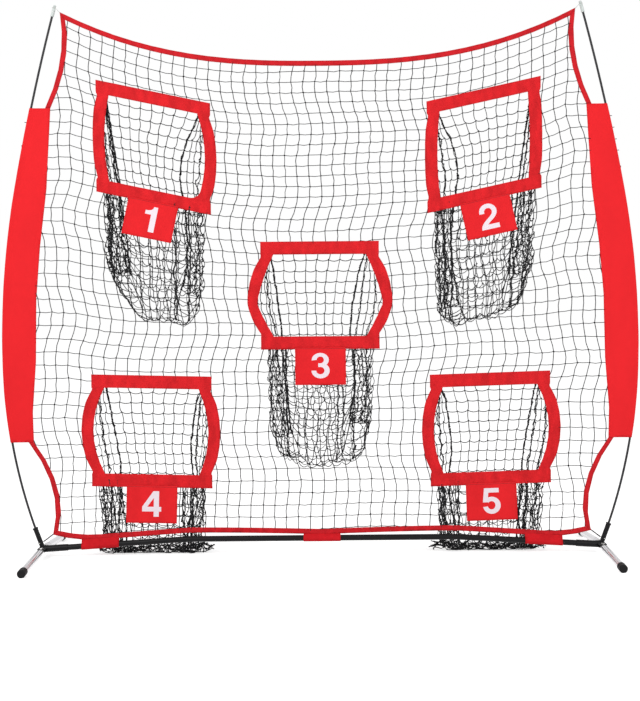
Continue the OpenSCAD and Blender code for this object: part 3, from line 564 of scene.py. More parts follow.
# side is -1 left of the middle. Places are shares of the width from left to right: gathers are where the
# front yarns lie close, as start, end and count, folds are bunches of yarns, as place and count, and lift is
# how far the sack's bottom is drawn up there. Gussets are cords in the ends, as end, share of the depth and
# count. heap counts the yarns on the ground, corner is the radius of the opening's lower inner corner, and
# angular is how far the opening's sides come to a point. bowShare is how much of the tapes' bows stays.
plainBag = {"side": 1, "heap": 0, "corner": 0, "angular": 0, "bowShare": 1}
groundBag = {**plainBag, "shape": lowerBag, "heap": 9, "lift": ((0, 0.03), (0.1, 0.0), (0.9, 0.0), (1, 0.03))}
bags = {
    1: {**plainBag, "side": -1, "shape": upperBag, "corner": 0.035,
        "gathers": ((0.0, 0.15, 5), (0.93, 1.0, 3)),
        "folds": ((0.06, 3), (0.71, 3), (0.86, 3)),
        "gussets": (("left", 0.25, 3), ("left", 0.55, 2), ("left", 0.9, 4), ("right", 0.45, 1)),
        "lift": ((0, 0.13), (0.074, 0.067), (0.304, -0.024), (0.714, 0.0), (0.814, -0.010), (0.913, 0.031),
                 (1, 0.125))},
    2: {**plainBag, "shape": upperBag, "bowShare": 0.35,
        "gathers": ((0.0, 0.15, 5), (0.86, 1.0, 5)),
        "folds": ((0.08, 3), (0.16, 2), (0.78, 2), (0.89, 2)),
        "gussets": (("left", 0.2, 2), ("left", 0.6, 2), ("right", 0.3, 2), ("right", 0.8, 2)),
        "lift": ((0, 0.06), (0.056, 0.023), (0.196, -0.019), (0.277, -0.008), (0.7, -0.016), (0.877, 0.0),
                 (0.93, 0.045), (1, 0.12))},
    3: {**plainBag, "shape": centreBag, "angular": 0.7,
        "gathers": ((0.0, 0.18, 6), (0.9, 1.0, 4)),
        "folds": ((0.17, 3), (0.67, 2), (0.83, 3)),
        "gussets": (("left", 0.2, 1), ("left", 0.7, 2), ("right", 0.4, 1), ("right", 0.8, 1)),
        "lift": ((0, 0.11), (0.031, 0.072), (0.09, 0.041), (0.214, 0.022), (0.308, -0.005), (0.547, 0.0),
                 (0.786, 0.014), (0.883, 0.030), (0.96, 0.068), (1, 0.16))},
    4: {**groundBag, "side": -1,
        "gathers": ((0.0, 0.20, 9), (0.80, 1.0, 8)),
        "folds": ((0.10, 3), (0.18, 2), (0.79, 3), (0.87, 3)),
        "gussets": (("left", 0.2, 3), ("left", 0.6, 2), ("right", 0.5, 1), ("right", 0.8, 2))},
    5: {**groundBag,
        "gathers": ((0.0, 0.20, 8), (0.76, 1.0, 10)),
        "folds": ((0.04, 3), (0.19, 2), (0.78, 3), (0.84, 3)),
        "gussets": (("left", 0.2, 2), ("left", 0.6, 2), ("right", 0.4, 2), ("right", 0.8, 2))},
}


def between(points, where):
    # the value at a place on a broken line of (place, value) points
    for (low, first), (high, second) in zip(points, points[1:]):
        if where <= high:
            return first + (second - first) * max(0, where - low) / (high - low)
    return points[-1][1]


# hems and pocket frames

# ear is the width of a frame's level tapes, step how far the upright ones start inside their ends, waist how
# much wider the opening of the node is at mid height, and peak the height of an angular opening's points
tape = {"thickness": 0.0026, "cell": 0.010, "relief": 0.0011, "wave": 0.024, "seam": 0.004, "piece": 0.01,
        "frameHeight": 0.43, "ear": 0.050, "margin": 0.002, "waist": 0.012, "peak": -0.03, "roundOff": 0.03,
        "step": 0.008, "stepRise": 0.006, "stepRun": 0.07, "stepCurve": 1.5}
hems = {
    "top_hem": {"flat": (0.02, 2.1), "restsOn": ["left_tip_cap", "right_tip_cap"]},
    "bottom_hem": {"flat": (0.02, 1.9), "restsOn": ["left_bar_tube", "right_bar_tube"]},
    "left_hems": {"flat": (0.02, 0.8), "restsOn": ["left_upper_pole"]},
    "right_hems": {"flat": (0.02, 0.8), "restsOn": ["right_upper_pole"]},
}


def tapeLevel(place):
    return tape["relief"] * ripple(place, tape["wave"], 3)


def tapeFront(place):
    return tapeLevel(place) - tape["thickness"] / 2 - stitch["proud"]


def roundCorner(a, b, radius):
    # a and b run from the opening's corner into the opening, and the tape round it follows the new corner
    near, far = min(radius, max(0, a)), min(radius, max(0, b))
    share = (1 - (near - far) / radius) / 2
    fade = max(0, 1 - max(0, -min(a, b)) / tape["roundOff"])
    return (radius * (1 - share) ** 2 - near) * fade, (radius * share ** 2 - far) * fade


def stepIn(below):
    # below is the distance from a level tape along an upright one
    if below <= 0:
        return 0
    fade = max(0, 1 - below / tape["stepRun"]) ** tape["stepCurve"]
    return tape["step"] * min(1, below / tape["stepRise"]) * fade


def shapeTape(place, own):
    # moves a point of a frame's node to the sewn tape; u and v run outwards and up from the pocket's middle
    side, bag = own["side"], own["shape"]
    u = side * place.x - bag["x"]
    v = place.z - bag["z"] - bag["slope"] * u
    half, bowed, ease = bag["h"] / 2, bag["h"] / 2 - tape["ear"], bag["w"] / 2 - tape["ear"]
    bulge = bag["bows"][0 if u > 0 else 1]
    inner = 1 - min(1, abs(v) / bowed) ** 2
    outer = 1 - min(1, abs(v) / half) ** 2
    near, far = ease + (bulge + tape["waist"]) * inner, bag["w"] / 2 + bulge * outer
    peak = (bowed - v) / (bowed - tape["peak"]) if v > tape["peak"] else (bowed + v) / (bowed + tape["peak"])
    bent = inner + (max(0, peak) - inner) * own["angular"]
    out, up, away = 0.0, 0.0, math.copysign(1, u)
    if abs(u) > near - tape["margin"]:
        # share is 0 at the upright tape's inner edge and 1 at its outer one
        share = min(1, max(0, (abs(u) - near) / (far - near)))
        kept = own["bowShare"]
        out = share * (bulge * (kept * (inner + bent) / 2 - outer) - stepIn(bowed - abs(v)))
        out += (1 - share) * ((bulge + tape["waist"]) * (kept * bent - inner) - kept * bag["band"] * inner)
    if own["corner"] and u < 0 and v < 0:
        inward, lifted = roundCorner(ease - abs(u), bowed - abs(v), own["corner"])
        out, up = out - inward, up + lifted
    place.x += side * away * out
    place.z += up + bag["slope"] * away * out


def makeTape(node, material, flat, restsOn, own=None):
    bm = frontOf(node)
    area = areaOf(bm.faces)
    seams = bm.copy()
    lines = seamEdges(seams, tape["seam"])
    seams.free()
    if own:
        lines = inPieces(lines, tape["piece"])
        for start, end in lines:
            shapeTape(start, own)
            shapeTape(end, own)
    bmesh.ops.triangulate(bm, faces=bm.faces)
    cut(bm, 0, tape["cell"])
    cut(bm, 2, tape["cell"])
    for vert in bm.verts:
        if own:
            shapeTape(vert.co, own)
        vert.co.y = tapeLevel(vert.co)
    piece = addPiece(node + "_cloth", bm, material, netBody, [node])
    thicken(piece, tape["thickness"])
    thread = bmesh.new()
    addStitches(thread, lines, "Y", tapeFront)
    stitches = addPiece(node + "_stitches", thread, redThread, netBody)
    width = max(flat[0], area / flat[1])
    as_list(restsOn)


for node, hem in hems.items():
    makeTape(node, hemTape, hem["flat"], hem["restsOn"])
for number, own in bags.items():
    low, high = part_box(f"pocket_{number}_frame")
    makeTape(f"pocket_{number}_frame", frameFabric, (high.x - low.x, tape["frameHeight"]),
             ["main_net"], own)
print("hems and pocket frames ready")


# pole sleeves

sleeveLook = {"wall": 0.0008, "cell": 0.014, "relief": 0.0035, "wave": 0.11, "flatDepth": 0.0035,
              "calmEnd": 0.1}


def shellsOf(bm):
    # the faces that hang together, one set for each shell
    shells, left = [], set(bm.faces)
    while left:
        shell, edge = set(), [left.pop()]
        while edge:
            face = edge.pop()
            shell.add(face)
            near = {f for e in face.edges for f in e.link_faces} & left
            left -= near
            edge += near
        shells.append(shell)
    return shells


def makeSleeve(sideName):
    # the node's outer wall alone, with its cut ends left open, which gets the cloth's thickness inwards
    name = f"{sideName}_pole_sleeve"
    bm = copyOf(name)
    bmesh.ops.delete(bm, geom=[f for f in bm.faces if abs(f.normal.z) > facing], context="FACES")
    bmesh.ops.delete(bm, geom=list(min(shellsOf(bm), key=areaOf)), context="FACES")
    area = areaOf(bm.faces)
    cut(bm, 2, sleeveLook["cell"])
    cut(bm, 0, sleeveLook["cell"])
    low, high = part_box(name)
    for vert in bm.verts:
        flat = max(0.0, 1 - abs(vert.co.y) / sleeveLook["flatDepth"])
        end = min(vert.co.z - low.z, high.z - vert.co.z) / sleeveLook["calmEnd"]
        wave = sleeveLook["relief"] * ripple(vert.co, sleeveLook["wave"], 9)
        vert.co.y += wave * flat * min(1.0, max(0.0, end))
    piece = addPiece(name + "_cloth", bm, sleeveFabric, netBody, [name])
    thicken(piece, sleeveLook["wall"], -1)


for sideName in ("left", "right"):
    makeSleeve(sideName)
print("sleeves ready")


# number flaps

flapLook = {"width": 0.195, "height": 0.144, "cells": (26, 20), "thickness": 0.0014, "relief": 0.0022,
            "wave": 0.07, "curl": 0.004, "curlWave": 9, "seam": 0.006, "seamTop": 0.004,
            "seamThreadAndShade": {"drop": 0.0045, "proud": 0.0009, "short": 0.004, "width": 0.0011, "thickness": 0.0006},
            "numeralDrop": 0.070, "numeralCell": 0.008, "numeralProud": 0.0006, "arcStep": 15}


def bow(centreX, centreY, radiusX, radiusY, start, end):
    # points of an arc, in degrees
    count = max(3, round(abs(end - start) / flapLook["arcStep"]))
    turns = [math.radians(start + (end - start) * i / count) for i in range(count + 1)]
    return [(centreX + radiusX * math.cos(a), centreY + radiusY * math.sin(a)) for a in turns]


# outlines of the numerals in millimetres, 98 high; a second outline is a hole
numerals = {
    1: [[(24, 0), (46, 0), (46, 98), (31, 98), (28, 90), (22, 85), (12, 82), (0, 81.5), (0, 67), (24, 67)]],
    2: [[(0, 0), (70, 0), (70, 18), (27, 18), (34, 25), (48, 35), (61, 46), (68, 57)]
        + bow(36, 67, 34, 31, 0, 180) + [(2, 62), (21, 62)] + bow(36, 67, 15, 14, 180, 0)
        + [(50, 60), (44, 52), (30, 41), (14, 29), (4, 17), (0, 6)]],
    3: [[(1, 69)] + bow(34, 71, 33, 27, 180, -30) + [(58, 52)] + bow(35, 30, 35, 30, 40, -180)
        + bow(34, 30, 16, 14, 180, 450) + [(26, 44), (26, 58)] + bow(34, 71, 14, 13, -90, 180)],
    4: [[(44, 0), (64, 0), (64, 20), (73, 20), (73, 38), (64, 38), (64, 98), (42, 98), (0, 38), (0, 20),
         (44, 20)],
        [(44, 38), (44, 72), (19, 38)]],
    5: [[(8, 98), (64, 98), (64, 81), (24, 81), (22, 62)] + bow(36, 32, 34, 33, 105, -170)
        + bow(35, 32, 15, 16, -165, 140) + [(20, 44), (2, 44)]],
}


def flapDepth(place, number):
    # how far the cloth stands out at a place on the flap, and the free edge curls a little
    down = min(1.0, max(0.0, -place.y / flapLook["height"]))
    wave = flapLook["relief"] * noise.noise(Vector((place.x, place.y, number)) / flapLook["wave"])
    curl = flapLook["curl"] * noise.noise(Vector((place.x * flapLook["curlWave"], number, 2)))
    return down * wave + curl * down ** 3


def flapFront(place, number):
    return flapDepth(place, number) + flapLook["thickness"] / 2


def flapMatrix(joint):
    # X runs along the sewn edge, Y up the hanging flap, and Z out of its face
    along = -Vector(joint["axis"])
    matrix = Matrix((along, (-along.z, 0, along.x), toFront)).transposed().to_4x4()
    matrix.translation = joint["pos_m"]
    return matrix


def flapCloth(number):
    bm = bmesh.new()
    across, down = flapLook["cells"]
    bmesh.ops.create_grid(bm, x_segments=across, y_segments=down, size=0.5)
    bmesh.ops.scale(bm, vec=(flapLook["width"], flapLook["height"], 1), verts=bm.verts)
    bmesh.ops.translate(bm, vec=(0, -flapLook["height"] / 2, 0), verts=bm.verts)
    for vert in bm.verts:
        vert.co.z = flapDepth(vert.co, number)
    return bm


def flapThread(number):
    # a dark thread strip along the top, for the sewn line and the painted shade in its groove, and stitches
    # round the four edges
    bm = bmesh.new()
    seamThreadAndShade = flapLook["seamThreadAndShade"]
    # the continuous dark strip is sewn thread and painted seam shade together
    line = Matrix.Diagonal((flapLook["width"] - seamThreadAndShade["short"], seamThreadAndShade["width"], seamThreadAndShade["thickness"], 1))
    bmesh.ops.create_cube(bm, size=1, matrix=Matrix.Translation((0, -seamThreadAndShade["drop"], seamThreadAndShade["proud"])) @ line)
    half = flapLook["width"] / 2 - flapLook["seam"]
    top, foot = -flapLook["seamTop"], flapLook["seam"] - flapLook["height"]
    corners = [Vector((x, y, 0)) for x, y in ((-half, top), (-half, foot), (half, foot), (half, top))]
    edges = zip(corners, corners[1:] + corners[:1])
    addStitches(bm, edges, "Z", lambda place: flapFront(place, number))
    return bm


def flapNumeral(number):
    data = bpy.data.curves.new("numeral", "CURVE")
    data.dimensions = "2D"
    data.fill_mode = "FRONT"
    xs, ys = zip(*numerals[number][0])
    middle = ((max(xs) + min(xs)) / 2, (max(ys) + min(ys)) / 2)
    for outline in numerals[number]:
        spline = data.splines.new("POLY")
        spline.points.add(len(outline) - 1)
        spline.use_cyclic_u = True
        for point, (x, y) in zip(spline.points, outline):
            point.co = ((x - middle[0]) / 1000, (y - middle[1]) / 1000, 0, 1)
    bm = meshOf(data)
    bmesh.ops.translate(bm, vec=(0, -flapLook["numeralDrop"], 0), verts=bm.verts)
    cut(bm, 0, flapLook["numeralCell"])
    cut(bm, 1, flapLook["numeralCell"])
    for vert in bm.verts:
        vert.co.z = flapFront(vert.co, number) + flapLook["numeralProud"] / 2
    return bm


def makeFlap(number):
    joint = next(j for j in frame["joints"] if j["name"] == f"number_flap_{number}_lift")
    body = joint["child"]
    shapes = [flapCloth(number), flapThread(number), flapNumeral(number)]
    for bm in shapes:
        bmesh.ops.transform(bm, matrix=flapMatrix(joint), verts=bm.verts)
    flat, thread, digit = shapes
    bmesh.ops.recalc_face_normals(flat, faces=flat.faces)
    cloth = addPiece(f"flap_{number}_cloth", flat, flapFabric, body, [f"number_flap_{number}"])
    thicken(cloth, flapLook["thickness"])
    stitches = addPiece(f"flap_{number}_stitches", thread, redThread, body)
    numeral = addPiece(f"numeral_{number}", digit, numeralPrint, body, smooth=False)
    thicken(numeral, flapLook["numeralProud"])


for number in numerals:
    makeFlap(number)
print("number flaps ready")


# main net

# the first rows, counted from the top, lie closer together. hidden is how far a yarn runs on under its tape,
# and inside is a height between the hems. A swing is its size, how fast it turns by height and by width, and
# its start.
netLook = {"pitch": 0.0459, "halfWidth": 1.15, "height": 1.781, "rows": 42, "first": 0.025, "closeRows": 14,
           "closeStep": 0.0396, "openStep": 0.046, "inside": 1.0, "topReach": 0.97, "bottomReach": 0.9,
           "topCurve": 1.25, "swings": ((0.016, 9.1, 0.7, 0), (0.0096, 23, 2.1, 1.3)), "swingMiddle": 1.05,
           "sway": (0.005, 4.1, 7.3), "jitter": 0.0028, "yarn": 0.00130, "upright": 1.2, "knot": 0.0033,
           "slack": 0.0035, "hidden": 0.008, "halvings": 9, "shortest": 0.01}


def surfaceOf(*names):
    verts, faces = [], []
    for name in names:
        mesh = cadNodes[name].data
        faces += [[len(verts) + i for i in p.vertices] for p in mesh.polygons]
        verts += [v.co.copy() for v in mesh.vertices]
    return BVHTree.FromPolygons(verts, faces)


def coverOfPockets():
    # the pocket frames as their tapes lie, with their openings closed
    verts, faces = [], []
    for number, own in bags.items():
        bm = frontOf(f"pocket_{number}_frame")
        bmesh.ops.holes_fill(bm, edges=[e for e in bm.edges if e.is_boundary], sides=0)
        bmesh.ops.triangulate(bm, faces=bm.faces)
        cut(bm, 0, tape["cell"])
        cut(bm, 2, tape["cell"])
        for vert in bm.verts:
            shapeTape(vert.co, own)
        bm.verts.index_update()
        faces += [[len(verts) + v.index for v in f.verts] for f in bm.faces]
        verts += [v.co.copy() for v in bm.verts]
        bm.free()
    return BVHTree.FromPolygons(verts, faces)


netEdges = surfaceOf(*hems, "left_pole_sleeve", "right_pole_sleeve")
topEdge = surfaceOf("top_hem")
bottomEdge = surfaceOf("bottom_hem")
pocketCover = coverOfPockets()


def isNet(place):
    flat = Vector((place.x, 0, place.z))
    for way in (Vector((0, 0, 1)), Vector((0, 0, -1)), Vector((math.copysign(1, place.x), 0, 0))):
        hit = netEdges.ray_cast(flat, way)
        if hit[0] is None or hit[1].dot(way) > 0:
            return False
    return pocketCover.ray_cast(flat + toFront * 0.1, -toFront)[0] is None


def hemHeight(tree, x, reach, way):
    # past its reach a hem counts as level
    start = Vector((max(-reach, min(reach, x)), 0, netLook["inside"]))
    return tree.ray_cast(start, Vector((0, 0, way)))[0].z


def rowLevel(row):
    # rows are counted from the top, and the level is 1 at the top hem and 0 at the bottom one
    close = min(row, netLook["closeRows"])
    depth = netLook["first"] + netLook["closeStep"] * (close - 1) + netLook["openStep"] * (row - close)
    return 1 - depth / netLook["height"]


topMiddle = hemHeight(topEdge, 0, netLook["topReach"], 1)


def netPlace(column, row):
    x = column * netLook["pitch"]
    low = hemHeight(bottomEdge, x, netLook["bottomReach"], -1)
    high = hemHeight(topEdge, x, netLook["topReach"], 1)
    level = rowLevel(row)
    z = low + (topMiddle - low) * level + (high - topMiddle) * max(0, level) ** netLook["topCurve"]
    swing = sum(size * math.sin(z * up + x * across + start) for size, up, across, start in netLook["swings"])
    size, up, across = netLook["sway"]
    sway = size * math.sin(z * up + x * across)
    place = Vector((x + swing * (1 - abs(z - netLook["swingMiddle"]) ** 4), 0, z + sway))
    jitter = Vector((ripple(place, 0.05, 5), ripple(place, 0.09, 7) * 0.5, ripple(place, 0.05, 11)))
    return place + jitter * netLook["jitter"]


def keptRuns(line):
    # the parts of a yarn that lie in the net, each end carried on under its tape
    runs, run = [], []
    for last, here in zip([None] + line[:-1], line):
        inside = isNet(here)
        if last is not None and inside != isNet(last):
            near, away = (here, last) if inside else (last, here)
            low, high = near.copy(), away.copy()
            for _ in range(netLook["halvings"]):
                half = (low + high) / 2
                if isNet(half):
                    low = half
                else:
                    high = half
            end = low + (away - near).normalized() * netLook["hidden"]
            if inside:
                run = [end]
            else:
                run.append(end)
                runs.append(run)
                run = []
        if inside:
            run.append(here)
    return [r for r in runs if len(r) > 1 and (r[0] - r[-1]).length > netLook["shortest"]]


def makeMainNet():
    half = int(netLook["halfWidth"] / netLook["pitch"])
    columns, rows = range(-half, half + 1), range(netLook["rows"] + 1)
    places = {(i, k): netPlace(i, k) for i in columns for k in rows}
    across, upright = [], []
    for k in rows[1:-1]:
        line = []
        for i in columns:
            line.append(places[i, k])
            if i < half:
                middle = (places[i, k] + places[i + 1, k]) / 2
                line.append(middle - Vector((0, 0, netLook["slack"] * dice.uniform(0, 1))))
        across += keptRuns(line)
    for i in columns:
        line = []
        for k in rows:
            line.append(places[i, k])
            if k < rows[-1]:
                middle = (places[i, k] + places[i, k + 1]) / 2
                line.append(middle + Vector((netLook["slack"] * dice.uniform(-1, 1), 0, 0)))
        upright += keptRuns(line)
    bm = strands(across, netLook["yarn"])
    addKnots(bm, [p for (i, k), p in places.items() if k > 0 and isNet(p)], netLook["knot"])
    addPiece("main_net_yarns", bm, netYarn, netBody, ["main_net"])
    bm = strands(upright, netLook["yarn"] * netLook["upright"])
    addPiece("main_net_uprights", bm, netYarn, netBody)


makeMainNet()
print("main net ready")


# pocket nets

# seam is how far inside the frame's outline the net is sewn. The back starts mouth deep, slants away by
# slant, and is foot deep where the frame ends. rings are the sack below, as share of its drop, narrowing,
# depth of the front past the gap, and depth of the back. The net wanders and curls the more the lower it
# hangs, by start and growth.
bagLook = {
    "tape": 0.050, "seam": 0.0275, "waist": 0.0066, "lip": 0.006, "front": 0.003, "mouth": 0.028,
    "slant": 0.168, "foot": 0.198,
    "rings": ((0.35, 0.003, 0, 0.190), (0.7, 0.006, 0, 0.172), (0.92, 0.010, 0.014, 0.152),
              (1, 0.018, 0.046, 0.122)),
    "droop": 0.25, "tighten": 0.25, "cheek": 0.006, "swing": 0.08, "ground": 0.003,
    "wander": 0.010, "wanderSize": 0.038, "wanderGrowth": (0.3, 2.5),
    "curl": 0.0065, "curlSize": 0.012, "curlGrowth": (0.2, 3),
    "pitch": 0.040, "frontPitch": 0.036, "frontLess": 0.055, "backCells": 8, "endCells": 5, "ringDrop": 0.006,
    "drift": 0.02, "yarn": 0.0016, "knot": 0.0034,
    "slack": 0.013, "sewnSlack": 0.5, "sideways": 0.6, "inOut": 0.3, "leastSag": 0.4,
}
# bundles of yarns: folds of the front, cords in the ends, the back's two edges, the bottom hem, and the heap
# on the ground under the lower sacks; loose is how far their path wanders, and width how far yarns lie apart
bundles = {
    "folds": {"loose": 0.6, "width": 0.0045, "step": 0.011, "drift": 0.025},
    "gussets": {"loose": 1.2, "width": 0.007, "step": 0.009},
    "edges": {"loose": 0.5, "width": 0.0035, "yarns": 3},
    "hem": {"loose": 0.8, "width": 0.006, "yarns": 1, "points": 36},
    "heap": {"width": 0.020, "points": 44, "span": 0.43, "depth": 0.075, "height": 0.020},
    "turn": 1.6, "stray": 0.25, "wave": 0.37, "yarn": 1.15, "knotEvery": 3,
}


def bagLevels(bag):
    # each level is height, left and right front, left and right back, near and far depth, slope
    half, seam = bag["h"] / 2, bagLook["seam"]

    def edge(v, bow):
        return bag["w"] / 2 - seam + (bow + bagLook["waist"]) * (1 - min(1, abs(v) / (half - seam)) ** 2)

    levels = []
    for t in shares(4):
        v = half - seam + (bagLook["tape"] + seam - 2 * half - bagLook["lip"]) * t
        levels.append((v, -edge(v, bag["bows"][1]), edge(v, bag["bows"][0]), bagLook["front"],
                       bagLook["mouth"] + bagLook["slant"] * t, bag["slope"]))
    side = bag["w"] / 2 - seam
    levels.append((-half, -side, side, bagLook["front"], bagLook["foot"], bag["slope"]))
    for t, narrow, near, far in bagLook["rings"]:
        levels.append((-half - bag["drop"] * t, narrow - side, side - narrow, bag["gap"] + near, far,
                       bag["slope"] * (1 + bagLook["droop"] * t)))
    return levels


def levelAt(levels, v):
    for upper, lower in zip(levels, levels[1:]):
        if v >= lower[0]:
            share = min(1, max(0, (upper[0] - v) / (upper[0] - lower[0])))
            return [a + (b - a) * share for a, b in zip(upper, lower)]
    return list(levels[-1])


def bagPlace(own, levels, face, share, v, loose=1.0):
    # share runs from left to right, and from front to back at the ends
    side, bag = own["side"], own["shape"]
    _, left, right, near, far, slope = levelAt(levels, v)
    hang = max(0.0, -v - bag["h"] / 2) / bag["drop"]
    tight = 1 - hang * bagLook["tighten"]
    backLeft, backRight = -between(bag["innerSeam"], v) * tight, between(bag["outerSeam"], v) * tight
    lift = between(own["lift"], {"left": 0, "right": 1}.get(face, share)) * hang ** 2
    if side < 0:
        share = 1 - share if face in ("front", "back") else share
        face = {"left": "right", "right": "left"}.get(face, face)
    cheek = bagLook["cheek"] * math.sin(math.pi * share)
    if face == "front":
        u, y = left + (right - left) * share, near
    elif face == "back":
        u, y = backLeft + (backRight - backLeft) * share, far
    elif face == "left":
        u, y = left + (backLeft - left) * share - cheek, near + (far - near) * share
    else:
        u, y = right + (backRight - right) * share + cheek, near + (far - near) * share
    z = bag["z"] + v + slope * u + lift + bagLook["swing"] * bag["slope"] * hang
    place = Vector((side * (bag["x"] + u), y, z))
    for name, seed in (("wander", 7 * (face == "back")), ("curl", 0)):
        start, growth = bagLook[name + "Growth"]
        reach = bagLook[name] * loose * min(1, start + hang * growth)
        place += noise.noise_vector(place / bagLook[name + "Size"] + Vector((0, 0, seed))) * reach
    place.y = max(place.y, near)
    place.z = max(place.z, bagLook["ground"])
    return place


def slacken(line, amount):
    # yarn between knots hangs in an arc, or wanders to one side where it runs up and down
    made = [line[0]]
    for last, here in zip(line, line[1:]):
        run = here - last
        flat = Vector((run.x, run.y, 0)).length / max(tiny, run.length)
        sideways = dice.uniform(-bagLook["sideways"], bagLook["sideways"]) * (1 - flat)
        inOut = dice.uniform(-bagLook["inOut"], bagLook["inOut"])
        sag = Vector((sideways, inOut, -flat * dice.uniform(bagLook["leastSag"], 1)))
        for share in shares(4)[1:-1]:
            place = last.lerp(here, share) + sag * amount * 4 * share * (1 - share)
            place.z = max(place.z, bagLook["ground"])
            made.append(place)
        made.append(here)
    return made


def wandering(path, count, width, seed):
    # yarns that run along a path of places, in and out of each other
    made = []
    for yarn in range(count):
        line = []
        for i, place in enumerate(path):
            turn = noise.noise_vector(Vector((i * bundles["wave"], seed * 3.1, yarn * 5.3))) * bundles["turn"]
            stray = Vector([dice.uniform(-1, 1) for _ in range(3)]) * bundles["stray"]
            place = place + (turn + stray) * width
            place.z = max(place.z, bagLook["ground"])
            line.append(place)
        made.append(line)
    return made


def frontShares(own):
    # the front yarns lie close in the gathers at both sides, and evenly between them
    made = [start + (end - start) * t for start, end, count in own["gathers"] for t in shares(count - 1)]
    (_, start, _), (end, _, _) = own["gathers"]
    count = round((end - start) * (own["shape"]["w"] - bagLook["frontLess"]) / bagLook["frontPitch"])
    return sorted(made + [start + (end - start) * t for t in shares(count)[1:-1]])


def makeYarns(number, own, at, top, tapeEnd, bottom):
    heights = [top + (bottom - top) * t for t in shares(int((top - bottom) / bagLook["pitch"]))]
    across, ends, fronts = shares(bagLook["backCells"]), shares(bagLook["endCells"]), frontShares(own)
    lines, knots = [], []
    for face, places in (("back", across), ("left", ends[1:-1]), ("right", ends[1:-1])):
        for share in places:
            line = [at(face, share, v) for v in heights]
            lines.append(slacken(line, bagLook["slack"]))
            knots += line
    for share in fronts:
        line = []
        for v in [tapeEnd] + [v for v in heights if v < tapeEnd]:
            drift = bagLook["drift"] * noise.noise(Vector((share * 9, v * 11, number)))
            line.append(at("front", min(1, max(0, share + drift)), v))
        lines.append(slacken(line, bagLook["slack"]))
        knots += line[1:]
        lines.append(slacken([line[-1], at("back", share, bottom)], bagLook["slack"]))
    for v in heights[1:]:
        line = [at("left", s, v) for s in ends] + [at("back", s, v) for s in across[1:-1]]
        line += [at("right", s, v) for s in reversed(ends)]
        if v < tapeEnd:
            line += [at("front", s, v - bagLook["ringDrop"]) for s in reversed(fronts[:-1])]
        lines.append(slacken(line, bagLook["slack"] * (1 if v < tapeEnd else bagLook["sewnSlack"])))
    bm = strands(lines, bagLook["yarn"])
    addKnots(bm, knots, bagLook["knot"])
    addPiece(f"pocket_{number}_yarns", bm, netYarn, netBody, [f"pocket_{number}_net"])


def makeFolds(number, own, at, top, tapeEnd, bottom):
    folds, gussets, edges, hem, heap = [bundles[key] for key in ("folds", "gussets", "edges", "hem", "heap")]
    made = []
    steps = int((tapeEnd - bottom) / folds["step"])
    for share, count in own["folds"]:
        path = []
        for i, t in enumerate(shares(steps)):
            drift = folds["drift"] * noise.noise(Vector((i * 0.09, share * 7, number)))
            path.append(at("front", share + drift, tapeEnd + (bottom - tapeEnd) * t, folds["loose"]))
        made += wandering(path, count, folds["width"], number + share)
    heights = [top + (bottom - top) * t for t in shares(int((top - bottom) / gussets["step"]))]
    for face, share, count in own["gussets"]:
        path = [at(face, share, v, gussets["loose"]) for v in heights]
        made += wandering(path, count, gussets["width"], number + 3 * share)
    for share in (0.0, 1.0):
        path = [at("back", share, v, edges["loose"]) for v in heights]
        made += wandering(path, edges["yarns"], edges["width"], number + 2 * share)
    path = [at("front", t, bottom, hem["loose"]) for t in shares(hem["points"])]
    made += wandering(path, hem["yarns"], hem["width"], number + 5)
    if own["heap"]:
        reaches = [own["shape"]["x"] + (t - 0.5) * heap["span"] for t in shares(heap["points"])]
        path = [Vector((own["side"] * x, heap["depth"], heap["height"])) for x in reaches]
        made += wandering(path, own["heap"], heap["width"], number + 8)
    bm = strands(made, bagLook["yarn"] * bundles["yarn"])
    every = bundles["knotEvery"]
    addKnots(bm, [p for i, line in enumerate(made) for p in line[i % every::every]], bagLook["knot"])
    addPiece(f"pocket_{number}_folds", bm, netYarn, netBody)


def makeBag(number, own):
    levels = bagLevels(own["shape"])

    def at(face, share, v, loose=1.0):
        return bagPlace(own, levels, face, share, v, loose)

    heights = levels[0][0], (bagLook["tape"] - own["shape"]["h"]) / 2, levels[-1][0]
    makeYarns(number, own, at, *heights)
    makeFolds(number, own, at, *heights)


for number, own in bags.items():
    makeBag(number, own)
print("pocket nets ready")


# corner cords and bungees

# cord and elastic are radii, neck is how far below the tip cap's top the loop lies, and loop its radius
tieLook = {"cord": 0.00125, "elastic": 0.0025, "plies": 3, "pitch": 0.011, "step": 0.0014, "plyPlace": 0.45,
           "plySize": 0.56, "neck": 0.010, "loop": 0.00515, "loopPoints": 32, "tie": 0.00665,
           "tieKnot": 0.0022, "cornerKnot": 0.0035, "bungeeKnot": 0.0045, "ball": 0.0035, "capTop": 0.0015,
           "capFoot": 0.0045}
ballLook = {"points": 60, "turn": 0.42, "flat": 0.8, "least": 0.1, "thick": 0.6, "cord": 0.62, "core": 0.8}


def plaited(path, radius):
    # cords of a few plies that wind round their path
    made = []
    for ply in range(tieLook["plies"]):
        line = []
        for i, place in enumerate(path):
            ahead = (path[min(i + 1, len(path) - 1)] - path[max(i - 1, 0)]).normalized()
            first = ahead.orthogonal() if i == 0 else first - ahead * first.dot(ahead)
            first = first.normalized()
            turn = 2 * math.pi * (ply / tieLook["plies"] + i * tieLook["step"] / tieLook["pitch"])
            out = first * math.cos(turn) + ahead.cross(first) * math.sin(turn)
            line.append(place + out * radius * tieLook["plyPlace"])
        made.append(line)
    return made


def straight(start, end):
    count = max(2, round((end - start).length / tieLook["step"]))
    return [start.lerp(end, t) for t in shares(count)]


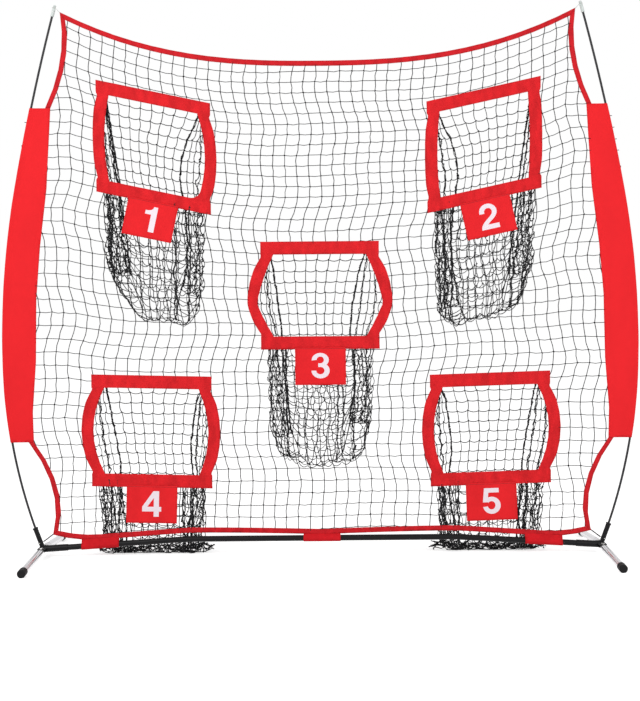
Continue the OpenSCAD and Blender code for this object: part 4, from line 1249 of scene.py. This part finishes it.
def knotOf(middle, radius, thick):
    # a cord wound into a small ball
    line = []
    for i in range(ballLook["points"]):
        turn, rise = i * ballLook["turn"], (i / (ballLook["points"] - 1) - 0.5) * 2
        reach = math.sqrt(max(ballLook["least"], 1 - rise * rise * ballLook["flat"]))
        place = Vector((math.cos(turn) * reach, math.sin(turn) * reach, rise * ballLook["flat"]))
        line.append(middle + place * (radius - thick))
    return line


def makeTie(name, path, radius, knots, material, node):
    bm = strands(plaited(path, radius), radius * tieLook["plySize"])
    lines = [knotOf(middle, size, radius * ballLook["thick"]) for middle, size in knots]
    tied = strands(lines, radius * ballLook["cord"])
    for middle, size in knots:
        bmesh.ops.create_icosphere(tied, subdivisions=2, radius=size * ballLook["core"],
                                   matrix=Matrix.Translation(middle))
    addPiece(name, bm, material, netBody, [node])
    addPiece(name + "_knots", tied, material, netBody)


def centreOf(places):
    return sum(places, Vector()) / len(places)


def pointsOf(node):
    return [v.co for v in cadNodes[node].data.vertices]


def makeCornerTie(sideName, side):
    # a loop round the tip cap's neck, and a straight run down to the knot at the hem's corner
    cap = pointsOf(f"{sideName}_tip_cap")
    head, foot = max(v.z for v in cap), min(v.z for v in cap)
    crown = centreOf([v for v in cap if v.z > head - tieLook["capTop"]])
    skirt = centreOf([v for v in cap if v.z < foot + tieLook["capFoot"]])
    axis = (crown - skirt).normalized()
    neck = crown - axis * tieLook["neck"]
    inward = Vector((-side, 0, 0))
    inward = (inward - axis * inward.dot(axis)).normalized()
    across = axis.cross(inward)
    turns = [2 * math.pi * t for t in shares(tieLook["loopPoints"])[1:-1]]
    loop = [neck + (inward * math.cos(a) + across * math.sin(a)) * tieLook["loop"] for a in turns]
    tie = neck + inward * tieLook["tie"]
    knot = max(pointsOf(f"{sideName}_corner_cord"), key=lambda v: v.y) - Vector((0, tieLook["cornerKnot"], 0))
    makeTie(f"{sideName}_corner_tie", loop + straight(tie, knot), tieLook["cord"],
            [(tie, tieLook["tieKnot"]), (knot, tieLook["cornerKnot"])],
            whiteCord, f"{sideName}_corner_cord")


def makeBungee(sideName, side):
    elastic = pointsOf(f"{sideName}_bungee")
    high, low = [end(elastic, key=lambda v: v.z - side * v.x) for end in (max, min)]
    run = (low - high).normalized()
    high, low = high + run * tieLook["bungeeKnot"], low - run * tieLook["ball"]
    makeTie(f"{sideName}_bungee_cord", straight(high, low), tieLook["elastic"],
            [(high, tieLook["bungeeKnot"]), (low, tieLook["ball"])],
            elasticCord, f"{sideName}_bungee")


for sideName, side in (("left", -1), ("right", 1)):
    makeCornerTie(sideName, side)
    makeBungee(sideName, side)
print("ties ready")


# wraps round the bar

# a wrap is a tube whose top is nipped together up to the hem, and tilt is how far the outer ones lean
wrapLook = {"wall": 0.0016, "segments": 36, "turn": 5, "steps": 14, "nip": 0.88, "hemHalf": 0.0026,
            "tilt": 3.4, "relief": 0.0010, "wave": 0.02}


def makeWrap(name):
    low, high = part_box(name)
    middle = (low + high) / 2
    halfLength = (high.x - low.x) / 2
    radius = (high.y - low.y) / 2 - wrapLook["wall"] / 2
    lean = -math.copysign(math.tan(math.radians(wrapLook["tilt"])), middle.x)
    if name == "centre_bar_wrap":
        lean = 0
    centreZ = low.z + (high.y - low.y) / 2 + abs(lean) * halfLength
    bm = bmesh.new()
    turn = Matrix.Rotation(math.pi / 2, 4, "Y") @ Matrix.Rotation(math.radians(wrapLook["turn"]), 4, "Z")
    bmesh.ops.create_circle(bm, segments=wrapLook["segments"], radius=radius, matrix=turn)
    for vert in bm.verts:
        if vert.co.z > radius * wrapLook["nip"]:
            vert.co.y = math.copysign(wrapLook["hemHalf"], vert.co.y)
            vert.co.z = high.z - centreZ
    bmesh.ops.translate(bm, vec=(-halfLength, 0, 0), verts=bm.verts)
    edges = bm.edges[:]
    for _ in range(wrapLook["steps"]):
        made = bmesh.ops.extrude_edge_only(bm, edges=edges)["geom"]
        bmesh.ops.translate(bm, vec=(2 * halfLength / wrapLook["steps"], 0, 0),
                            verts=[g for g in made if isinstance(g, bmesh.types.BMVert)])
        edges = [g for g in made if isinstance(g, bmesh.types.BMEdge)]
    for vert in bm.verts:
        vert.co.z += vert.co.x * lean
        vert.co += Vector((middle.x, 0, centreZ))
        out = Vector((0, vert.co.y, 0)).normalized()
        vert.co += out * wrapLook["relief"] * ripple(vert.co, wrapLook["wave"], 4)
    bmesh.ops.recalc_face_normals(bm, faces=bm.faces)
    area = areaOf(bm.faces)
    piece = addPiece(name + "_cloth", bm, wrapFabric, netBody, [name])
    thicken(piece, wrapLook["wall"])


for name in ("left_bar_wrap", "centre_bar_wrap", "right_bar_wrap"):
    makeWrap(name)
print("bar wraps ready")
